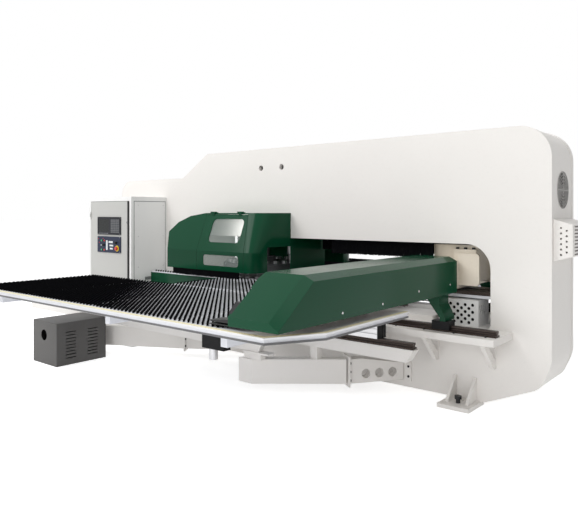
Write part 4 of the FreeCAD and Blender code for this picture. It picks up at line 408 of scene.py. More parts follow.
# Plastics, rubber and bristles.
BRISTLE = Finish(
    "finish_bristle", (0.006, 0.006, 0.007),
    roughness=0.62, specular=0.0, grain=Grain.BRUSHED, bump=0.5, variation=0.3, soil=0.25,
    edge=0.0, axis=2,
)
PANEL_PLASTIC = Finish(
    "finish_panel_plastic", (0.022, 0.023, 0.028),
    roughness=0.45, specular=0.2, grain=Grain.TEXTURED, bump=0.1, edge=0.001,
)
OPERATOR_BLUE = Finish(
    "finish_operator_blue", (0.016, 0.023, 0.052),
    roughness=0.4, specular=0.25, grain=Grain.TEXTURED, bump=0.1, edge=0.001,
)
FAN_PLASTIC = Finish(
    "finish_fan_plastic", (0.02, 0.02, 0.02), roughness=0.5, grain=Grain.TEXTURED, edge=0.001,
)
# Deep black of the fan shroud and the guard lining, painted shade inside the frame and the guard.
SHROUD_AND_SHADE_BLACK = Finish(
    "finish_shroud_and_shade_black", (0.008, 0.008, 0.008),
    roughness=0.75, specular=0.15, grain=Grain.TEXTURED, edge=0.0,
)
SEAL_RUBBER = Finish(
    "finish_seal_rubber", (0.014, 0.014, 0.015), roughness=0.6, grain=Grain.SMOOTH, edge=0.0,
)
# The buttons' glow is painted light: they shine though they hold no lamp. The red operator lamps
# share the red finish.
GREEN_BUTTON = Finish(
    "finish_green_button", (0.02, 0.34, 0.12),
    roughness=0.2, coat=0.6, grain=Grain.SMOOTH, edge=0.001, glow=0.15,
)
RED_BUTTON = Finish(
    "finish_red_button", (0.55, 0.018, 0.012),
    roughness=0.2, coat=0.6, grain=Grain.SMOOTH, edge=0.001, glow=0.08,
)
YELLOW_DISC = Finish(
    "finish_yellow_disc", (0.85, 0.62, 0.02), roughness=0.4, grain=Grain.SMOOTH, edge=0.0005,
)
BLACK_KNOB = Finish(
    "finish_black_knob", (0.015, 0.015, 0.016),
    roughness=0.35, grain=Grain.TEXTURED, edge=0.001,
)
KEY_GREY = Finish(
    "finish_key_grey", (0.15, 0.155, 0.165),
    roughness=0.5, specular=0.25, grain=Grain.SMOOTH, edge=0.0006,
)
PLATE_PALE = Finish(
    "finish_plate_pale", (0.70, 0.72, 0.74), roughness=0.45, grain=Grain.SMOOTH, edge=0.0006,
)

# Glass.
SCREEN_GLASS = Finish(
    "finish_screen_glass", (0.010, 0.012, 0.012),
    roughness=0.12, specular=0.3, grain=Grain.SMOOTH, edge=0.0,
)
WINDOW_GLASS = GlassFinish("finish_window_glass", (0.74, 0.86, 0.80), alpha=0.10)

FINISH_NODES: tuple[tuple[Surface, tuple[str, ...]], ...] = (
    (FRAME_PAINT, ("near_side_plate", "far_side_plate", "outer_wrapper", "throat_liner",
                   "foot_plates", "end_hood", "shelves", "wing_beams", "outriggers")),
    (PLATE_PAINT, ("centre_tables", "wing_tables")),
    (CREAM_PAINT, ("beam",)),
    (CABINET_PAINT, ("cabinet", "drive_guard")),
    (CABINET_DOOR_SHADED, ("cabinet_door",)),
    (GUARD_GREY, ("fan_grille",)),
    (UNIT_PAINT, ("power_unit",)),
    (GREEN_PAINT, ("green_panels", "beam_covers", "legs", "near_turret_cover", "cover_door",
                   "far_turret_cover")),
    (BLACK_PAINT, ("bolts", "guide_blocks", "clamp_carriage", "servo_motors", "ram_cylinder")),
    (BOLT_STEEL, ("levelling_screws", "clamp_bodies", "near_jaw", "middle_jaw", "far_jaw",
                  "bearings")),
    (TOOL_STEEL, ("clamp_rails", "carriage_screw", "punches", "striking_punch", "dies",
                  "striker")),
    (RAIL_STEEL, ("linear_rails",)),
    (TURRET_IRON, ("upper_turret", "lower_turret")),
    (ALUMINIUM, ("runners",)),
    (VALVE_BLACK, ("valve_block",)),
    (LOCK_CHROME, ("door_lock",)),
    (BRISTLE, ("wing_brushes", "centre_brushes")),
    (PANEL_PLASTIC, ("screen_panel",)),
    (OPERATOR_BLUE, ("operator_panel",)),
    (FAN_PLASTIC, ("frame_fan", "power_unit_fan")),
    (GREEN_BUTTON, ("cycle_start_button", "power_on_button")),
    (RED_BUTTON, ("feed_hold_button", "power_off_button", "stop_button")),
    (BLACK_KNOB, ("feed_knob", "mode_knob")),
    (WINDOW_GLASS, ("door_window",)),
)
NODE_FINISH = {node: finish for finish, nodes in FINISH_NODES for node in nodes}


# ------------------------------------------------------------------ mesh building
class MeshMaker:
    """Collects simple closed forms into one mesh, then hands it over as a piece of the object."""

    bevel_segments: int = 2
    bevel_profile: float = 0.6
    screw_sides: int = 12
    screw_profile: tuple[Pair, ...] = ((1.0, 0.0), (1.0, 0.5), (0.82, 1.0), (0.45, 1.0),
                                       (0.38, 0.45))

    def __init__(self, name: str) -> None:
        """Start an empty mesh.

        Args:
            name: The piece's name.
        """
        self.name = name
        self.mesh = bmesh.new()

    def block(self, low: Point, high: Point, bevel: float = 0.0) -> None:
        """Add a block between two corners.

        Args:
            low: Its lowest corner.
            high: Its highest corner.
            bevel: How far its edges are cut back.
        """
        made = bmesh.ops.create_cube(self.mesh, size=1.0)
        size = Vector(high) - Vector(low)
        middle = (Vector(high) + Vector(low)) / 2
        for vertex in made["verts"]:
            vertex.co = Vector(c * s for c, s in zip(vertex.co, size)) + middle
        if bevel > 0.0:
            edges = dict.fromkeys(edge for vertex in made["verts"] for edge in vertex.link_edges)
            bmesh.ops.bevel(
                self.mesh, geom=list(edges), offset=bevel, segments=self.bevel_segments,
                affect="EDGES", profile=self.bevel_profile,
            )

    def prism(self, outline: Sequence[Point], push: Point) -> None:
        """Add an outline pushed along a vector.

        Args:
            outline: The corners, in order.
            push: The way and length of the push.
        """
        lower = [self.mesh.verts.new(corner) for corner in outline]
        upper = [self.mesh.verts.new(Vector(corner) + Vector(push)) for corner in outline]
        self.mesh.faces.new(lower[::-1])
        self.mesh.faces.new(upper)
        count = len(outline)
        for index in range(count):
            after = (index + 1) % count
            self.mesh.faces.new((lower[index], lower[after], upper[after], upper[index]))

    def turned(self, profile: Sequence[Pair], base: Point, axis: Point, sides: int) -> None:
        """Add a turned form.

        Args:
            profile: Points of (radius, height), from the base to the tip.
            base: Where height nought lies.
            axis: The way the axis runs.
            sides: How many sides the form has.
        """
        turn = Vector(UPWARD).rotation_difference(Vector(axis)).to_matrix().to_4x4()
        place = Matrix.Translation(base) @ turn
        rings: list[list[bmesh.types.BMVert]] = []
        for radius, height in profile:
            ring = []
            for side in range(sides):
                angle = 2 * math.pi * side / sides
                point = Vector((radius * math.cos(angle), radius * math.sin(angle), height))
                ring.append(self.mesh.verts.new(place @ point))
            rings.append(ring)
        for first, second in zip(rings, rings[1:]):
            for side in range(sides):
                after = (side + 1) % sides
                self.mesh.faces.new((first[side], first[after], second[after], second[side]))
        self.mesh.faces.new(rings[0][::-1])
        self.mesh.faces.new(rings[-1])

    def screw(self, base: Point, axis: Point, radius: float, height: float) -> None:
        """Add a domed socket screw head.

        Args:
            base: The middle of its seat.
            axis: The way it faces.
            radius: Its radius.
            height: Its height.
        """
        profile = [(radius * out, height * up) for out, up in self.screw_profile]
        self.turned(profile, base, axis, self.screw_sides)

    def upright_ring(
        self, middle: Point, across: Pair, radii: Pair, push: Point, sides: int
    ) -> None:
        """Add a ring of wedges that stands upright, pushed along a vector.

        Args:
            middle: The ring's middle.
            across: The level way, in X and Y, that the ring spreads.
            radii: Its inner and its outer radius.
            push: The way and length of the push.
            sides: How many wedges it has.
        """
        inner, outer = radii
        for number in range(sides):
            first = 2 * math.pi * number / sides
            second = 2 * math.pi * (number + 1) / sides
            wedge = []
            for radius, angle in ((inner, first), (outer, first), (outer, second), (inner, second)):
                reach = radius * math.cos(angle)
                wedge.append((
                    middle[0] + across[0] * reach,
                    middle[1] + across[1] * reach,
                    middle[2] + radius * math.sin(angle),
                ))
            self.prism(wedge, push)

    def finish(
        self, finish: Surface, body: str, slot: str, smooth: bool = False
    ) -> bpy.types.Object:
        """Turn the collected forms into a piece that rides on a body.

        Args:
            finish: The piece's finish.
            body: The body that carries it.
            slot: A material slot's name; not used.
            smooth: Whether its faces are shaded smooth.

        Returns:
            The piece.
        """
        bmesh.ops.recalc_face_normals(self.mesh, faces=self.mesh.faces)
        mesh = bpy.data.meshes.new(self.name)
        self.mesh.to_mesh(mesh)
        self.mesh.free()
        if smooth:
            for polygon in mesh.polygons:
                polygon.use_smooth = True
        piece = bpy.data.objects.new(self.name, mesh)
        bpy.context.scene.collection.objects.link(piece)
        mesh.materials.append(finish.material())
        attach(piece, body)
        LOG.info("%s: %d faces on %s", self.name, len(mesh.polygons), body)
        return piece


def dress_nodes() -> None:
    """Give every carried-over CAD node its finish."""
    for name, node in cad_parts.items():
        node.data.materials.clear()
        node.data.materials.append(NODE_FINISH[name].material())
        for polygon in node.data.polygons:
            polygon.material_index = 0


# ------------------------------------------------------------------ brushes
@dataclass(frozen=True)
class Strip:
    """A plain brush strip: its two ends, its half width, and its bottom and top."""

    first: Vector
    last: Vector
    half: float
    low: float
    high: float


@dataclass
class BrushField:
    """Rows of bristles that stand in place of a node's plain strips.

    A strip taller than hanging_over is a curtain that hangs in the throat; its black is partly a
    brush curtain and partly painted shade, the dark seen through the throat. The seams are the X
    places where the tables join and carry no tufts.
    """

    node: str
    body: str
    seed: int
    merge_distance: float = 1e-6
    seams: tuple[float, ...] = ()
    seam_half: float = 0.011
    shortest: float = 0.03
    holder_height: float = 0.004
    holder_lift: float = 0.0002
    holder_trim: float = 0.9
    holder_width: float = 0.72
    tuft_pitch: float = 0.018
    tuft_foot: Pair = (0.62, 0.5)
    tuft_tip: Pair = (0.97, 0.92)
    lean: float = 0.12
    ragged: float = 0.0022
    hanging_over: float = 0.05
    curtain_from: float = 0.424
    curtain_holder: float = 0.022
    curtain_width: float = 0.98
    curtain_foot: Pair = (0.42, 0.55)
    curtain_tip: Pair = (0.40, 0.75)
    curtain_pitch: float = 0.009
    curtain_ragged: float = 0.0088
    sway: float = 0.2

    def strips(self) -> list[Strip]:
        """Read each plain strip's line from the frame.

        Returns:
            The strips, in the order of the node's vertices.
        """
        mesh = bmesh.new()
        mesh.from_mesh(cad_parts[self.node].data)
        bmesh.ops.remove_doubles(mesh, verts=mesh.verts, dist=self.merge_distance)
        mesh.verts.ensure_lookup_table()
        seen: set[int] = set()
        found = []
        for start in mesh.verts:
            if start.index in seen:
                continue
            island = self._island(start, seen)
            found.append(self._strip_of(island))
        mesh.free()
        return found

    def _island(self, start: bmesh.types.BMVert, seen: set[int]) -> list[Vector]:
        """Collect the points joined to one vertex.

        Args:
            start: The vertex to begin at.
            seen: Vertices already taken, which grows.

        Returns:
            The joined points.
        """
        waiting = [start]
        seen.add(start.index)
        points = []
        while waiting:
            vertex = waiting.pop()
            points.append(vertex.co.copy())
            for edge in vertex.link_edges:
                other = edge.other_vert(vertex)
                if other.index not in seen:
                    seen.add(other.index)
                    waiting.append(other)
        return points

    def _strip_of(self, points: list[Vector]) -> Strip:
        """Work out a strip from its points.

        Args:
            points: The strip's corners.

        Returns:
            The strip. A row on a table runs aslant, and a curtain runs along the throat.
        """
        levels = [point.z for point in points]
        sign = 1.0 if sum(point.y for point in points) < 0 else -1.0
        along = Vector((-1.0, sign, 0.0)).normalized()
        across = Vector((1.0, sign, 0.0)).normalized()
        if max(levels) - min(levels) > self.hanging_over:
            along, across = Vector((1.0, 0.0, 0.0)), Vector((0.0, 1.0, 0.0))
        runs = [point.dot(along) for point in points]
        sides = [point.dot(across) for point in points]
        middle = across * ((min(sides) + max(sides)) / 2)
        return Strip(
            first=along * min(runs) + middle,
            last=along * max(runs) + middle,
            half=(max(sides) - min(sides)) / 2,
            low=min(levels),
            high=max(levels),
        )

    def build(self) -> None:
        """Make the bristles, which replace the node's plain strips."""
        chance = random.Random(self.seed)
        maker = MeshMaker(self.node + "_bristles")
        for strip in self.strips():
            # A tall strip becomes a black curtain, partly painted shade in the throat.
            if strip.high - strip.low > self.hanging_over:
                start = Vector((self.curtain_from, strip.first.y, 0.0))
                self._curtain_and_shade(maker, chance, replace(strip, first=start))
                ends = [Vector((end.x, -end.y, 0.0)) for end in (strip.first, strip.last)]
                self._curtain_and_shade(maker, chance, replace(strip, first=ends[0], last=ends[1]))
            else:
                self._row(maker, chance, strip)
        piece = maker.finish(BRISTLE, self.body, "bristle")
        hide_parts(self.node)

    def _row(self, maker: MeshMaker, chance: random.Random, strip: Strip) -> None:
        """Add one holder and its standing tufts.

        Args:
            maker: The mesh that grows.
            chance: The source of chance.
            strip: The strip that the row stands in for.
        """
        run = strip.last - strip.first
        if run.length < self.shortest:
            return
        along = run.normalized()
        across = Vector((-along.y, along.x, 0.0))
        trim = strip.half * self.holder_trim
        rail = strip.half * self.holder_width
        start, end = strip.first + along * trim, strip.last - along * trim
        outline = (start - across * rail, end - across * rail, end + across * rail,
                   start + across * rail)
        level = strip.low + self.holder_lift
        maker.prism([(corner.x, corner.y, level) for corner in outline], (0, 0, self.holder_height))
        count = max(1, int((end - start).length / self.tuft_pitch))
        step = (end - start) / count
        reach = step.length / 2
        foot_level = strip.low + self.holder_height / 2
        for number in range(count):
            middle = start + step * (number + 0.5)
            if any(abs(middle.x - seam) < self.seam_half for seam in self.seams):
                continue
            tip_middle = middle + across * chance.uniform(-self.lean, self.lean) * strip.half
            ends = []
            for ahead, aside in ((-1, -1), (1, -1), (1, 1), (-1, 1)):
                foot = self._spread(middle, along * ahead * reach, across * aside * strip.half,
                                    self.tuft_foot)
                tip = self._spread(tip_middle, along * ahead * reach, across * aside * strip.half,
                                   self.tuft_tip)
                tip_level = strip.high - chance.uniform(0.0, self.ragged)
                ends.append((Vector((foot.x, foot.y, foot_level)),
                             Vector((tip.x, tip.y, tip_level))))
            self._tuft(maker.mesh, ends)

    def _spread(self, middle: Vector, along: Vector, across: Vector, shares: Pair) -> Vector:
        """Find a tuft's corner.

        Args:
            middle: The tuft's middle.
            along: The whole way to the corner along the row.
            across: The whole way to it across the row.
            shares: The shares of those two ways that the tuft takes.

        Returns:
            The corner.
        """
        return middle + along * shares[0] + across * shares[1]

    def _curtain_and_shade(self, maker: MeshMaker, chance: random.Random, strip: Strip) -> None:
        """Add a hanging row: a holder along the top and long tufts below it, whose black is partly
        painted shade in the throat.

        Args:
            maker: The mesh that grows.
            chance: The source of chance.
            strip: The strip that the row stands in for, which runs along X.
        """
        gap, bevel, overlap = 0.0003, 0.001, 0.002
        start, end, middle_y = strip.first.x, strip.last.x, strip.first.y
        base = strip.high - self.curtain_holder
        width = strip.half * self.curtain_width
        maker.block((start, middle_y - width, base), (end, strip.last.y + width, strip.high - gap),
                    bevel)
        count = max(1, int((end - start) / self.curtain_pitch))
        step = (end - start) / count
        for number in range(count):
            middle = start + step * (number + 0.5)
            swayed = middle + chance.uniform(-self.sway, self.sway) * step
            tip_level = strip.low + chance.uniform(0.0, self.curtain_ragged)
            ends = []
            for aside, ahead in ((-1, 1), (1, 1), (1, -1), (-1, -1)):
                foot = (middle + aside * step * self.curtain_foot[0],
                        middle_y + ahead * strip.half * self.curtain_foot[1], base + overlap)
                tip = (swayed + aside * step * self.curtain_tip[0],
                       middle_y + ahead * strip.half * self.curtain_tip[1], tip_level)
                ends.append((Vector(foot), Vector(tip)))
            self._tuft(maker.mesh, ends)

    def _tuft(self, mesh: bmesh.types.BMesh, ends: list[tuple[Vector, Vector]]) -> None:
        """Add one flared tuft, open at its foot inside the holder.

        Args:
            mesh: The mesh that grows.
            ends: Pairs of foot and tip corners, in order.
        """
        feet = [mesh.verts.new(foot) for foot, _ in ends]
        tips = [mesh.verts.new(tip) for _, tip in ends]
        mesh.faces.new(tips)
        for index in range(4):
            after = (index + 1) % 4
            mesh.faces.new((feet[index], feet[after], tips[after], tips[index]))


# ------------------------------------------------------------------ tables
@dataclass
class TableTrim:
    """The pale edging, the side channel and the lip around the wing tables."""

    left: float = -2.132
    right: float = 1.848
    inner: float = -1.300
    outer: float = -2.640
    top: float = 0.895
    cut_x: float = 0.185
    cut_y: float = 0.345
    left_slope: float = 0.42
    right_slope_x: float = 0.6
    right_slope_y: float = 0.3
    edge_width: float = 0.024
    edge_height: float = 0.0025
    edge_sunk: float = 0.001
    channel: float = 0.006
    channel_height: float = 0.012
    channel_drop: float = 0.044
    lip_drop: float = 0.013

    def outline(self, inset: float) -> list[Point]:
        """The near wing's plan from its inner left corner round to its inner right corner.

        Args:
            inset: How far it is drawn in.

        Returns:
            The corners, in order.
        """
        left, right, outer = self.left + inset, self.right - inset, self.outer + inset
        slope = inset * self.left_slope
        return [
            (left, self.inner, 0.0),
            (left, self.outer + self.cut_x + slope, 0.0),
            (self.left + self.cut_x + slope, outer, 0.0),
            (self.right - self.cut_x - inset * self.right_slope_x, outer, 0.0),
            (right, self.outer + self.cut_y + inset * self.right_slope_y, 0.0),
            (right, self.inner, 0.0),
        ]

    def build(self) -> None:
        """Make the edging, the channel and the lip of both wings."""
        edging = MeshMaker("wing_table_edging")
        channel = MeshMaker("wing_table_channel")
        lip = MeshMaker("wing_table_lip")
        for side in (1.0, -1.0):
            rim, inside, proud = (
                [Vector((x, y * side, z)) for x, y, z in self.outline(inset)]
                for inset in (-self.edge_sunk, self.edge_width, -self.channel)
            )
            self._band(edging, rim, inside, self.edge_sunk, self.edge_height + self.edge_sunk)
            self._band(channel, proud, rim, self.channel_drop, self.channel_height)
            self._band(lip, proud, rim, self.lip_drop, self.channel_height)
        edging.finish(EDGE_CREAM, "gantry", "cream_paint")
        channel.finish(CHANNEL_AND_SHADE_GREY, "gantry", "unit_paint")
        lip.finish(ALUMINIUM, "gantry", "profile_aluminium")

    def _band(
        self,
        maker: MeshMaker,
        outside: list[Vector],
        inside: list[Vector],
        drop: float,
        height: float,
    ) -> None:
        """Add a band between two outlines.

        Args:
            maker: The mesh that grows.
            outside: The outer outline.
            inside: The inner outline.
            drop: How far the band's bottom lies under the table's top.
            height: The band's height.
        """
        level = self.top - drop
        for index in range(len(outside) - 1):
            after = index + 1
            quad = (outside[index], outside[after], inside[after], inside[index])
            maker.prism([(corner.x, corner.y, level) for corner in quad], (0, 0, height))


# ------------------------------------------------------------------ control cabinet
@dataclass
class CabinetTrim:
    """Screen, keys, lamps, plates, screws, seals, panel and louvre of the control cabinet.

    Places on a panel are measured from its lower left corner.
    """

    screen_left: float = 0.030
    screen_right: float = 0.245
    screen_foot: float = 0.034
    screen_sunk: float = 0.0012
    screen_back: float = 0.004
    screen_head: float = 0.024
    soft_keys: int = 6
    soft_start: float = 0.036
    soft_pitch: float = 0.034
    soft_width: float = 0.026
    soft_levels: Pair = (0.010, 0.022)
    soft_proud: float = 0.002
    key_rows: int = 8
    key_columns: int = 5
    key_field_left: float = 0.286
    key_margin: float = 0.026
    key_share: Pair = (0.82, 0.78)
    key_base: float = 0.003
    key_proud: float = 0.0045
    lamp_places: tuple[Pair, ...] = ((0.028, 0.168), (0.130, 0.170), (0.045, 0.120))
    lamp_profile: tuple[Pair, ...] = ((0.006, 0.0), (0.006, 0.004), (0.003, 0.007))
    plate_corners: tuple[tuple[float, float, float, float], ...] = (
        (0.188, 0.030, 0.222, 0.150), (0.245, 0.118, 0.330, 0.142), (0.262, 0.078, 0.340, 0.098),
        (0.268, 0.040, 0.330, 0.060), (0.070, 0.082, 0.118, 0.092),
    )
    plate_proud: float = 0.0015
    overlap: float = 0.001
    collar_profile: tuple[Pair, ...] = (
        (0.0155, 0.0), (0.0155, 0.003), (0.0125, 0.005), (0.0118, 0.005),
    )
    screw_inset: float = 0.010
    disc_radii: Pair = (0.0130, 0.036)
    disc_thickness: float = 0.002
    disc_sides: int = 36
    strip_width: float = 0.015
    strip_proud: float = 0.0008
    strip_past: float = 0.0006
    strip_inset: float = 0.002
    seal_depths: tuple[float, float, float] = (0.0042, 0.0240, 0.0330)
    seal_width: float = 0.012
    seal_inset: float = 0.038
    seal_gap: float = 0.004
    shell_depth: float = 0.5297
    shell_screw_insets: Pair = (0.10, 0.05)
    shell_screw_levels: tuple[float, ...] = (0.95, 1.32, 1.70)
    side_insets: Pair = (0.045, 0.022)
    side_levels: Pair = (0.06, 1.742)
    side_sunk: float = 0.0005
    side_proud: float = 0.003
    line_width: float = 0.007
    line_sunk: float = 0.0004
    line_proud: float = 0.0006
    slots: int = 4
    slot_ends: Pair = (-0.632, -0.492)
    slot_level: float = 0.790
    slot_pitch: float = 0.010
    slot_height: float = 0.007
    slot_proud: Pair = (0.0028, 0.0045)

    def build(self) -> None:
        """Make every detail on the cabinet."""
        self._screen()
        self._keys()
        self._plates()
        self._lamps()
        self._collars()
        self._panel_screws()
        self._stop_disc()
        self._door_strip()
        low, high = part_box("cabinet")
        low.y = high.y - self.shell_depth
        self._shell_screws(low, high)
        self._seal(low, high)
        self._side_panel(low, high)
        self._louvre(high.x)

    def _screen(self) -> None:
        """The sunk screen glass and the row of soft keys under it."""
        low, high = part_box("screen_panel")
        face = low.y
        screen = MeshMaker("screen_glass")
        screen.block(
            (low.x + self.screen_left, face + self.screen_sunk, low.z + self.screen_foot),
            (low.x + self.screen_right, face + self.screen_back, high.z - self.screen_head),
            bevel=0.001,
        )
        screen.finish(SCREEN_GLASS, "cabinet_door", "panel_plastic")
        soft = MeshMaker("screen_soft_keys")
        bottom, top = self.soft_levels
        for number in range(self.soft_keys):
            start = low.x + self.soft_start + number * self.soft_pitch
            soft.block(
                (start, face - self.soft_proud, low.z + bottom),
                (start + self.soft_width, face + self.overlap, low.z + top),
                bevel=0.0008,
            )
        soft.finish(KEY_GREY, "cabinet_door", "panel_plastic")

    def _keys(self) -> None:
        """The key field beside the screen."""
        low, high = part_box("screen_panel")
        face = low.y + self.key_base
        left, right = low.x + self.key_field_left, high.x - self.key_margin
        bottom, top = low.z + self.key_margin, high.z - self.key_margin
        width = (right - left) / self.key_columns
        height = (top - bottom) / self.key_rows
        share_x, share_z = self.key_share
        keys = MeshMaker("control_keys")
        for row in range(self.key_rows):
            for column in range(self.key_columns):
                start = left + width * column
                level = bottom + height * row
                keys.block(
                    (start, face - self.key_proud, level),
                    (start + width * share_x, face, level + height * share_z),
                    bevel=0.0012,
                )
        keys.finish(KEY_GREY, "cabinet_door", "panel_plastic")

    def _plates(self) -> None:
        """The pale plates of the operator panel."""
        low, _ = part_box("operator_panel")
        plates = MeshMaker("operator_plates")
        for left, bottom, right, top in self.plate_corners:
            plates.block(
                (low.x + left, low.y - self.plate_proud, low.z + bottom),
                (low.x + right, low.y + self.overlap, low.z + top),
                bevel=0.0005,
            )
        plates.finish(PLATE_PALE, "cabinet_door", "panel_plastic")

    def _lamps(self) -> None:
        """The red lamps of the operator panel."""
        low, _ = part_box("operator_panel")
        lamps = MeshMaker("operator_lamps")
        for across, up in self.lamp_places:
            base = (low.x + across, low.y, low.z + up)
            lamps.turned(self.lamp_profile, base, NEARWARD, sides=16)
        lamps.finish(RED_BUTTON, "cabinet_door", "button_red", smooth=True)

    def _collars(self) -> None:
        """The black collars round the four push buttons."""
        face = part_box("operator_panel")[0].y
        collars = MeshMaker("button_collars")
        for name in (
            "cycle_start_button", "feed_hold_button", "power_on_button", "power_off_button",
        ):
            start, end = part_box(name)
            middle = (start + end) / 2
            collars.turned(self.collar_profile, (middle.x, face, middle.z), NEARWARD, sides=24)
        collars.finish(BLACK_KNOB, "cabinet_door", "knob_black")

    def _panel_screws(self) -> None:
        """The corner screws of both panels."""
        screws = MeshMaker("panel_screws")
        for node in ("operator_panel", "screen_panel"):
            start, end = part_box(node)
            for x in (start.x + self.screw_inset, end.x - self.screw_inset):
                for z in (start.z + self.screw_inset, end.z - self.screw_inset):
                    screws.screw((x, start.y, z), NEARWARD, radius=0.004, height=0.002)
        screws.finish(LOCK_CHROME, "cabinet_door", "lock_chrome")

    def _stop_disc(self) -> None:
        """The yellow disc behind the stop button."""
        start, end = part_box("stop_button")
        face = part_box("operator_panel")[0].y
        middle = (start + end) / 2
        disc = MeshMaker("stop_disc")
        disc.upright_ring(
            (middle.x, face, middle.z), (1.0, 0.0), self.disc_radii, (0, -self.disc_thickness, 0),
            self.disc_sides,
        )
        disc.finish(YELLOW_DISC, "cabinet_door", "cream_paint")

    def _door_strip(self) -> None:
        """The dark strip down the door's free edge."""
        low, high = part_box("cabinet_door")
        inset = self.strip_inset
        strip = MeshMaker("cabinet_door_strip")
        strip.block(
            (high.x - self.strip_width, low.y - self.strip_proud, low.z + inset),
            (high.x + self.strip_past, high.y - inset, high.z - inset),
            bevel=0.0003,
        )
        strip.finish(SEAL_RUBBER, "cabinet_door", "black_paint")

    def _seal(self, low: Vector, high: Vector) -> None:
        """The dark rubber seal round the doorway.

        Args:
            low: The shell's lowest corner.
            high: Its highest corner.
        """
        start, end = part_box("cabinet_door")
        back, near, deep = (low.y + depth for depth in self.seal_depths)
        left, right = low.x + self.seal_inset, high.x - self.seal_inset
        bottom, top = start.z - self.seal_gap, end.z + self.seal_gap
        wide, bevel = self.seal_width, 0.001
        seal = MeshMaker("cabinet_door_seal")
        for x, way in ((left, -1), (right, 1)):
            outside = sorted((x, x + way * wide))
            seal.block((outside[0], back, bottom - wide), (outside[1], deep, top + wide), bevel)
            inside = sorted((x, x - way * wide))
            seal.block((inside[0], near, bottom), (inside[1], deep, top), bevel)
        for z, way in ((bottom, -1), (top, 1)):
            outside = sorted((z, z + way * wide))
            seal.block((left, back, outside[0]), (right, deep, outside[1]), bevel)
            inside = sorted((z, z - way * wide))
            seal.block((left, near, inside[0]), (right, deep, inside[1]), bevel)
        seal.finish(SEAL_RUBBER, "frame", "black_paint")

    def _shell_screws(self, low: Vector, high: Vector) -> None:
        """The fixing screws on the shell's right side.

        Args:
            low: The shell's lowest corner.
            high: Its highest corner.
        """
        near, far = self.shell_screw_insets
        screws = MeshMaker("cabinet_screws")
        for y in (low.y + near, high.y - far):
            for z in self.shell_screw_levels:
                screws.screw((high.x, y, z), RIGHTWARD, radius=0.006, height=0.003)
        screws.finish(BOLT_STEEL, "frame", "bolt_steel")

    def _side_panel(self, low: Vector, high: Vector) -> None:
        """The removable panel on the shell's right side, with a dark line round it that is painted
        shade in the gap.

        Args:
            low: The shell's lowest corner.
            high: Its highest corner.
        """
        side, width = high.x, self.line_width
        near, far = self.side_insets
        bottom, top = self.side_levels
        panel = MeshMaker("cabinet_side_panel")
        panel.block(
            (side - self.side_sunk, low.y + near, bottom),
            (side + self.side_proud, high.y - far, top),
            bevel=0.0012,
        )
        panel.finish(CABINET_PAINT, "frame", "cabinet_paint")
        # The dark line round the panel is painted shade in the gap.
        sunk, proud = side - self.line_sunk, side + self.line_proud
        start, end = low.y + near - width, high.y - far + width
        foot, head = bottom - width, top + width
        gap = MeshMaker("cabinet_side_gap_shade")
        for y in (start, end - width):
            gap.block((sunk, y, foot), (proud, y + width, head))
        for z in (foot, head - width):
            gap.block((sunk, start + width, z), (proud, end - width, z + width))
        gap.finish(CHANNEL_AND_SHADE_GREY, "frame", "black_paint")

    def _louvre(self, side: float) -> None:
        """The short louvre in the side panel: dark bars that paint the shade in its slots.

        Args:
            side: The X of the shell's right side.
        """
        front, back = self.slot_ends
        inside, outside = (side + proud for proud in self.slot_proud)
        # The dark bars are painted shade standing for the louvre's openings.
        louvre = MeshMaker("cabinet_side_louvre")
        for number in range(self.slots):
            level = self.slot_level + self.slot_pitch * number
            louvre.block(
                (inside, front, level), (outside, back, level + self.slot_height), bevel=0.0005,
            )
        louvre.finish(CHANNEL_AND_SHADE_GREY, "frame", "black_paint")


